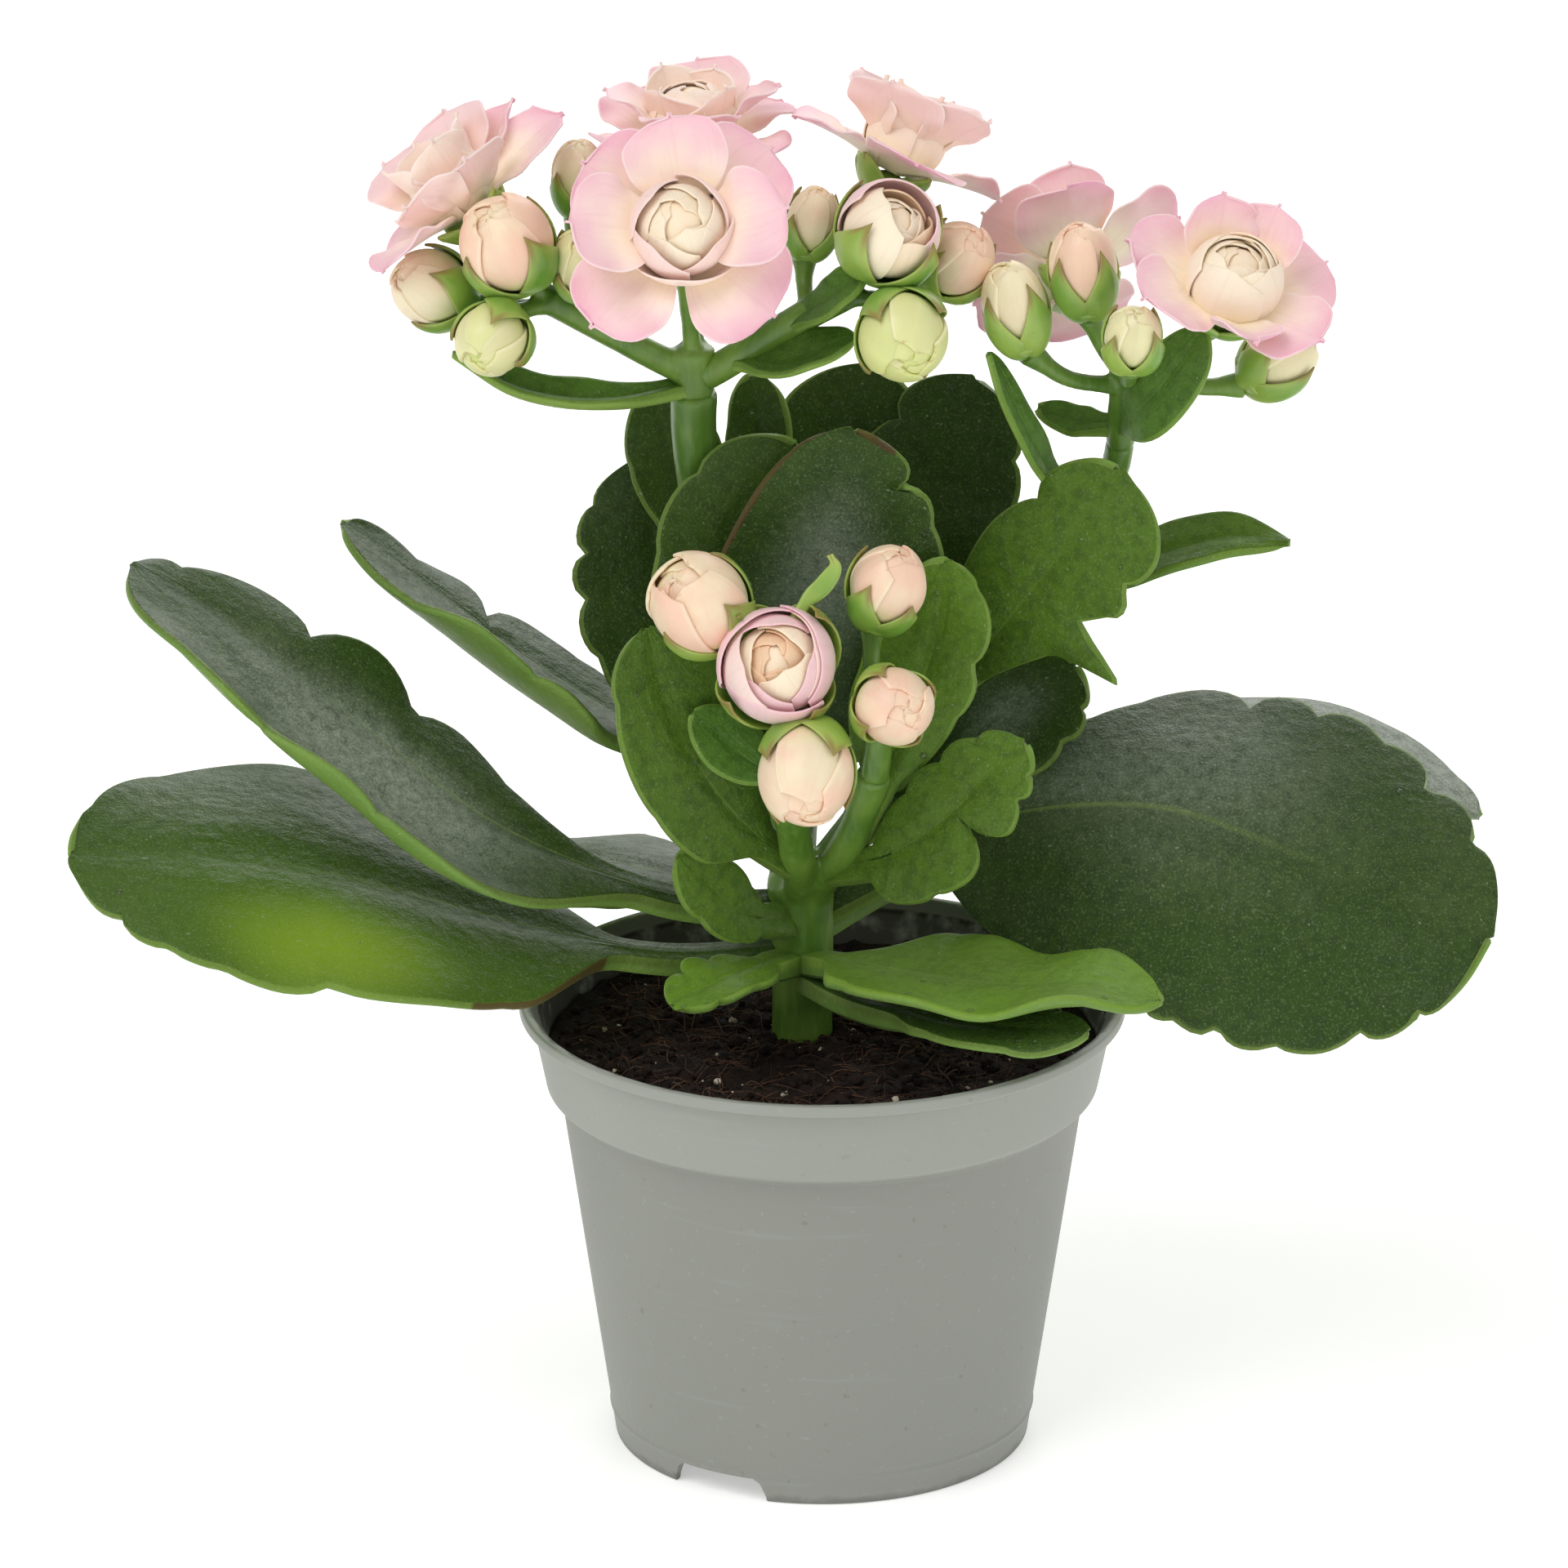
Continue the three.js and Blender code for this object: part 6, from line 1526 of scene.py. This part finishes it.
def petal_shape(whorl, turn, random):
    """A petal whose rib curves in the plane through the flower's axis."""
    foot, tip = (math.radians(angle + random.normal(0, 3.5)) for angle in whorl["rise"])
    reach = whorl["length"] * random.uniform(0.95, 1.03)
    out, up = whorl["start"]
    lean = random.normal(0, 0.07)
    rib = []
    for step in range(5):
        way = turn + lean * (step / 4) ** 2
        rib.append((out * math.cos(way), out * math.sin(way), up))
        slope = foot + (tip - foot) * (step + 0.5) / 4
        out, up = out + reach / 4 * math.cos(slope), up + reach / 4 * math.sin(slope)
    roll = whorl.get("roll", 0) + random.normal(0, 0.1)
    face = [(-math.sin(a) * math.cos(turn) - roll * math.sin(turn),
             -math.sin(a) * math.sin(turn) + roll * math.cos(turn), math.cos(a)) for a in (foot, tip)]
    wide = whorl["wide"] * random.uniform(0.95, 1.04)
    teeth = [[(random.uniform(0.86, 0.95), random.uniform(0.15, 0.45), 0.035)] for _ in range(2)]
    return dict(
        rib=rib, face=face, wide=(wide, wide * random.uniform(0.94, 1.06)), petiole=0.02, belly=0.66,
        blunt=whorl.get("blunt", 0.42), turn=random.uniform(*whorl["curl"], 2), thick=0.5, edge=0.22,
        stalk_wide=1.1, stalk_thick=0.8, rows=30, columns=15, ripple=0.3, groove=0.2, mucro=0.55,
        teeth=teeth, tone=whorl["pink"] * random.uniform(0.9, 1.05), seed=int(random.integers(1000)))


def build_flowers(settings):
    finish = petal_finish("petal_skin", settings.cream, settings.blush, settings.pink)
    for seed, (name, flower) in enumerate(FLOWERS.items(), SEEDS["flowers"]):
        random = np.random.default_rng(seed)
        whorls, shells = FLOWER_FORMS[name]
        at, axis, spin, heart = flower["at"], flower["axis"], flower["spin"], flower["heart"]
        pile = Pile()
        for whorl in whorls:
            for degrees in whorl["turns"]:
                shape = petal_shape(whorl, math.radians(degrees) + random.normal(0, 0.06), random)
                grid, deep, tint = blade_grid(**shape)
                add_shell(pile, grid, deep, tint, at, axis, spin)
        lift = heart_height(flower, shells)
        for shell in shells:
            for index in range(shell["count"]):
                turn = shell["turn"] + 360 * index / shell["count"] + random.normal(0, 5)
                high = shell["high"] + random.normal(0, 4)
                grid, tint = shell_grid(
                    heart * shell["size"], turn, shell["span"], shell["low"], high, drop=24, sharp=1.5,
                    rows=20, columns=19, flare=shell["flare"] + random.normal(0, 0.012),
                    tone=shell["pink"])
                add_shell(pile, grid, 0.2, tint, at, axis, spin, lift)
        points, faces = egg(heart * shells[-1]["size"] * 0.95)
        pile.add(turned(points + [0, 0, lift], at, axis), faces, (0.5, 0.3, 1, -0.1))
        pile.piece(f"fine_{name}", [finish], "petal", name)


def build_leaves(settings):
    rest = (settings.margin, settings.underside)
    dark = leaf_finish("leaf_skin", settings.dark, settings.middle, *rest)
    bright = leaf_finish("bright_leaf_skin", settings.middle, settings.bright, *rest)
    water = water_finish()
    for index, (name, shape) in enumerate(LEAVES.items()):
        looks = {**PLAIN_LEAF, **LEAF_LOOKS.get(name, {})}
        grain = looks.get("grain", 1.0)
        pile = Pile()
        upper, normal = add_blade(
            pile, {"foot": LEAF_FOOT, **shape}, rows=round(54 * grain), columns=2 * round(9 * grain) + 1,
            ripple=looks["ripple"], seed=SEEDS["leaves"] + index,
            **{key: looks[key] for key in BLADE_LOOKS if key in looks})
        add_drops(pile, upper, normal, looks.get("beads", 0), SEEDS["drops"] + index)
        slot = "leaf_bright" if name in BRIGHT_LEAVES else "leaf"
        skin = dark if slot == "leaf" or looks.get("skin") == "dark" else bright
        piece = pile.piece(f"fine_{name}", [skin, water], slot, name)
        if "scorch" in looks:
            mark_scorch(piece, np.vstack(pile.tints), looks["scorch"])


def add_drops(pile, upper, normal, count, seed):
    """Water drops on a leaf."""
    random = np.random.default_rng(seed)
    for _ in range(count):
        i = int(upper.shape[0] * random.uniform(0.4, 0.95))
        j = int(upper.shape[1] * random.uniform(0.12, 0.88))
        points, faces = egg(random.uniform(0.12, 0.42), 0.6, 14, 9)
        pile.add(turned(points, upper[i, j], normal[i, j]), faces, (0.5, 0.5, 1, 0), DROP_FACE)


def mark_scorch(piece, tints, stretches):
    """Marks on a leaf's mesh where its margin is brown."""
    across, along = tints[:, 0], tints[:, 1]
    marks = np.zeros(len(tints))
    for side, start, end, reach in stretches:
        inward = across if side == 0 else 1 - across
        stretch = smoothstep(along, start - 0.04, start) * smoothstep(-along, -end - 0.04, -end)
        marks = np.maximum(marks, smoothstep(reach - inward, 0, reach) * stretch)
    layer = piece.data.attributes.new("scorch", "FLOAT", "POINT")
    layer.data.foreach_set("value", marks)


# ------------------------------------------------------------------ the studio


def build_stage(settings):
    floor_mesh = bpy.data.meshes.new("studio_floor")
    size = settings.floor_size
    points = [(x * size, y * size, 0) for x, y in ((-1, -1), (1, -1), (1, 1), (-1, 1))]
    floor_mesh.from_pydata(points, [], [(0, 1, 2, 3)])
    floor_mesh.materials.append(floor_finish(settings.floor_colour, settings.floor_glow))
    floor = bpy.data.objects.new("studio_floor", floor_mesh)
    bpy.context.scene.collection.objects.link(floor)
    world = bpy.data.worlds.new("studio_world")
    world.use_nodes = True
    background = world.node_tree.nodes["Background"]
    background.inputs["Color"].default_value = (1, 1, 1, 1)
    background.inputs["Strength"].default_value = settings.surround
    bpy.context.scene.world = world
    for name, (power, width, place) in LIGHTS.items():
        light = bpy.data.lights.new(name, "AREA")
        light.energy = getattr(settings, power)
        light.size = width
        lamp = bpy.data.objects.new(name, light)
        lamp.location = place
        aim = np.array(PLANT_MIDDLE) - place
        away = math.hypot(aim[0], aim[1])
        lamp.rotation_euler = (math.atan2(away, -aim[2]), 0, math.atan2(-aim[0], aim[1]))
        bpy.context.scene.collection.objects.link(lamp)
    lens = bpy.data.cameras.new("camera")
    lens.lens = CAMERA_LENS
    lens.sensor_width = CAMERA_SENSOR
    lens.clip_start = 0.05
    lens.clip_end = 50
    camera = bpy.data.objects.new("camera", lens)
    camera.location = CAMERA_PLACE
    camera.rotation_euler = (math.radians(90 - CAMERA_TILT), 0, 0)
    bpy.context.scene.collection.objects.link(camera)
    bpy.context.scene.camera = camera
    bpy.context.scene.view_settings.view_transform = "Standard"


# ------------------------------------------------------------------ settings, operators and panel


def colour_property(name, description, code):
    return bpy.props.FloatVectorProperty(
        name=name, description=description, default=colour(code), subtype="COLOR", size=4, min=0, max=1)


class PotSettings(bpy.types.PropertyGroup):
    """The pot"""
    lip_radius: bpy.props.FloatProperty(
        name="Lip radius", description="Outer radius of the pot's lip",
        default=POT["lip_radius"] * MM, unit="LENGTH")
    height: bpy.props.FloatProperty(
        name="Height", description="Height of the pot", default=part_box("pot")[1][2], unit="LENGTH")
    colour: colour_property("Plastic", "Colour of the pot", "8b8d86")


class SoilSettings(bpy.types.PropertyGroup):
    """The soil"""
    crumbs: bpy.props.IntProperty(name="Crumbs", description="Crumbs on the soil", default=1500)
    fibres: bpy.props.IntProperty(name="Fibres", description="Fibres on the soil", default=700)
    colour: colour_property("Peat", "Colour of the soil", "110b09")


class StemSettings(bpy.types.PropertyGroup):
    """Stem and sprays"""
    young: colour_property("Young green", "Colour of the youngest stems", "7a9c3e")
    old: colour_property("Old green", "Colour of the oldest stems", "4d7426")


class BudSettings(bpy.types.PropertyGroup):
    """Buds"""
    cream: colour_property("Cream", "Palest colour of the buds", "f7e8c4")
    peach: colour_property("Peach", "Warmest colour of the buds", "f8ceb4")
    green: colour_property("Green", "Colour at the foot of the buds", "cfdc80")


class FlowerSettings(bpy.types.PropertyGroup):
    """Flowers"""
    cream: colour_property("Cream", "Colour of the heart", "ffefd2")
    blush: colour_property("Blush", "Colour halfway up the petals", "f9d9d6")
    pink: colour_property("Pink", "Colour of the petals' tips", "f0a6c1")


class LeafSettings(bpy.types.PropertyGroup):
    """Leaves"""
    dark: colour_property("Dark", "Colour of the darkest leaves", "304816")
    middle: colour_property("Middle", "Colour of the other leaves", "48661c")
    bright: colour_property("Bright", "Colour of the brightest leaves", "688e22")
    margin: colour_property("Margin", "Colour of the margins", "8aa64c")
    underside: colour_property("Underside", "Colour under the leaves", "64863c")


class StageSettings(bpy.types.PropertyGroup):
    """Studio"""
    floor_size: bpy.props.FloatProperty(
        name="Floor", description="Half the width of the floor", default=6.0, unit="LENGTH")
    floor_colour: colour_property("Floor colour", "Colour of the floor", "f6f6f4")
    surround: bpy.props.FloatProperty(
        name="Surround", description="Strength of the white studio all round", default=0.5)
    key_power: bpy.props.FloatProperty(
        name="Key light", description="Power of the light from the front left", default=50.0, unit="POWER")
    fill_power: bpy.props.FloatProperty(
        name="Fill light", description="Power of the light from the right", default=10.0, unit="POWER")
    back_power: bpy.props.FloatProperty(
        name="Back light", description="Power of the light from behind", default=44.0, unit="POWER")
    floor_glow: bpy.props.FloatProperty(
        name="Floor glow", description="How far the floor's own light lifts its shadows", default=0.36)


class KALANCHOE_OT_pot(bpy.types.Operator):
    """Builds the nursery pot with its lip, collar, foot notches and drain holes"""
    bl_idname = "kalanchoe.pot"
    bl_label = "Pot"
    bl_options = {"REGISTER", "UNDO"}

    def execute(self, context):
        build_pot(context.scene.kalanchoe_pot)
        return {"FINISHED"}


class KALANCHOE_OT_soil(bpy.types.Operator):
    """Builds the peat with its crumbs, fibres and pale grit"""
    bl_idname = "kalanchoe.soil"
    bl_label = "Soil"
    bl_options = {"REGISTER", "UNDO"}

    def execute(self, context):
        build_soil(context.scene.kalanchoe_soil)
        return {"FINISHED"}


class KALANCHOE_OT_stem(bpy.types.Operator):
    """Builds the main stem and its arms"""
    bl_idname = "kalanchoe.stem"
    bl_label = "Stem"
    bl_options = {"REGISTER", "UNDO"}

    def execute(self, context):
        build_stem(context.scene.kalanchoe_stem)
        return {"FINISHED"}


class KALANCHOE_OT_sprays(bpy.types.Operator):
    """Builds the branches, stalks, bracts and sepals that carry the flowers"""
    bl_idname = "kalanchoe.sprays"
    bl_label = "Flower sprays"
    bl_options = {"REGISTER", "UNDO"}

    def execute(self, context):
        build_sprays(context.scene.kalanchoe_stem)
        return {"FINISHED"}


class KALANCHOE_OT_buds(bpy.types.Operator):
    """Builds the closed buds"""
    bl_idname = "kalanchoe.buds"
    bl_label = "Buds"
    bl_options = {"REGISTER", "UNDO"}

    def execute(self, context):
        build_buds(context.scene.kalanchoe_buds)
        return {"FINISHED"}


class KALANCHOE_OT_flowers(bpy.types.Operator):
    """Builds the open and half-open flowers"""
    bl_idname = "kalanchoe.flowers"
    bl_label = "Flowers"
    bl_options = {"REGISTER", "UNDO"}

    def execute(self, context):
        build_flowers(context.scene.kalanchoe_flowers)
        return {"FINISHED"}


class KALANCHOE_OT_leaves(bpy.types.Operator):
    """Builds the thick scalloped leaves"""
    bl_idname = "kalanchoe.leaves"
    bl_label = "Leaves"
    bl_options = {"REGISTER", "UNDO"}

    def execute(self, context):
        build_leaves(context.scene.kalanchoe_leaves)
        return {"FINISHED"}


class KALANCHOE_OT_stage(bpy.types.Operator):
    """Builds the floor, the lights and the camera"""
    bl_idname = "kalanchoe.stage"
    bl_label = "Studio"
    bl_options = {"REGISTER", "UNDO"}

    def execute(self, context):
        build_stage(context.scene.kalanchoe_stage)
        return {"FINISHED"}


SETTINGS = {
    "kalanchoe_pot": PotSettings,
    "kalanchoe_soil": SoilSettings,
    "kalanchoe_stem": StemSettings,
    "kalanchoe_buds": BudSettings,
    "kalanchoe_flowers": FlowerSettings,
    "kalanchoe_leaves": LeafSettings,
    "kalanchoe_stage": StageSettings,
}
OPERATORS = (
    KALANCHOE_OT_pot,
    KALANCHOE_OT_soil,
    KALANCHOE_OT_stem,
    KALANCHOE_OT_sprays,
    KALANCHOE_OT_buds,
    KALANCHOE_OT_flowers,
    KALANCHOE_OT_leaves,
    KALANCHOE_OT_stage,
)


class KALANCHOE_PT_panel(bpy.types.Panel):
    """Lists the plant's settings and the steps that build it"""
    bl_label = "Potted kalanchoe"
    bl_space_type = "VIEW_3D"
    bl_region_type = "UI"
    bl_category = "Kalanchoe"

    def draw(self, context):
        for group, kind in SETTINGS.items():
            box = self.layout.box()
            box.label(text=kind.__doc__)
            for name in kind.__annotations__:
                box.prop(getattr(context.scene, group), name)
        for operator in OPERATORS:
            self.layout.operator(operator.bl_idname)


def register():
    for kind in (*SETTINGS.values(), *OPERATORS, KALANCHOE_PT_panel):
        bpy.utils.register_class(kind)
    for group, kind in SETTINGS.items():
        setattr(bpy.types.Scene, group, bpy.props.PointerProperty(type=kind))


def unregister():
    for group in SETTINGS:
        delattr(bpy.types.Scene, group)
    for kind in (KALANCHOE_PT_panel, *reversed(OPERATORS), *reversed(SETTINGS.values())):
        bpy.utils.unregister_class(kind)


def main():
    register()
    bpy.ops.kalanchoe.pot()
    bpy.ops.kalanchoe.soil()
    bpy.ops.kalanchoe.stem()
    bpy.ops.kalanchoe.sprays()
    bpy.ops.kalanchoe.buds()
    bpy.ops.kalanchoe.flowers()
    bpy.ops.kalanchoe.leaves()
    bpy.ops.kalanchoe.stage()


if __name__ == "__main__":
    main()
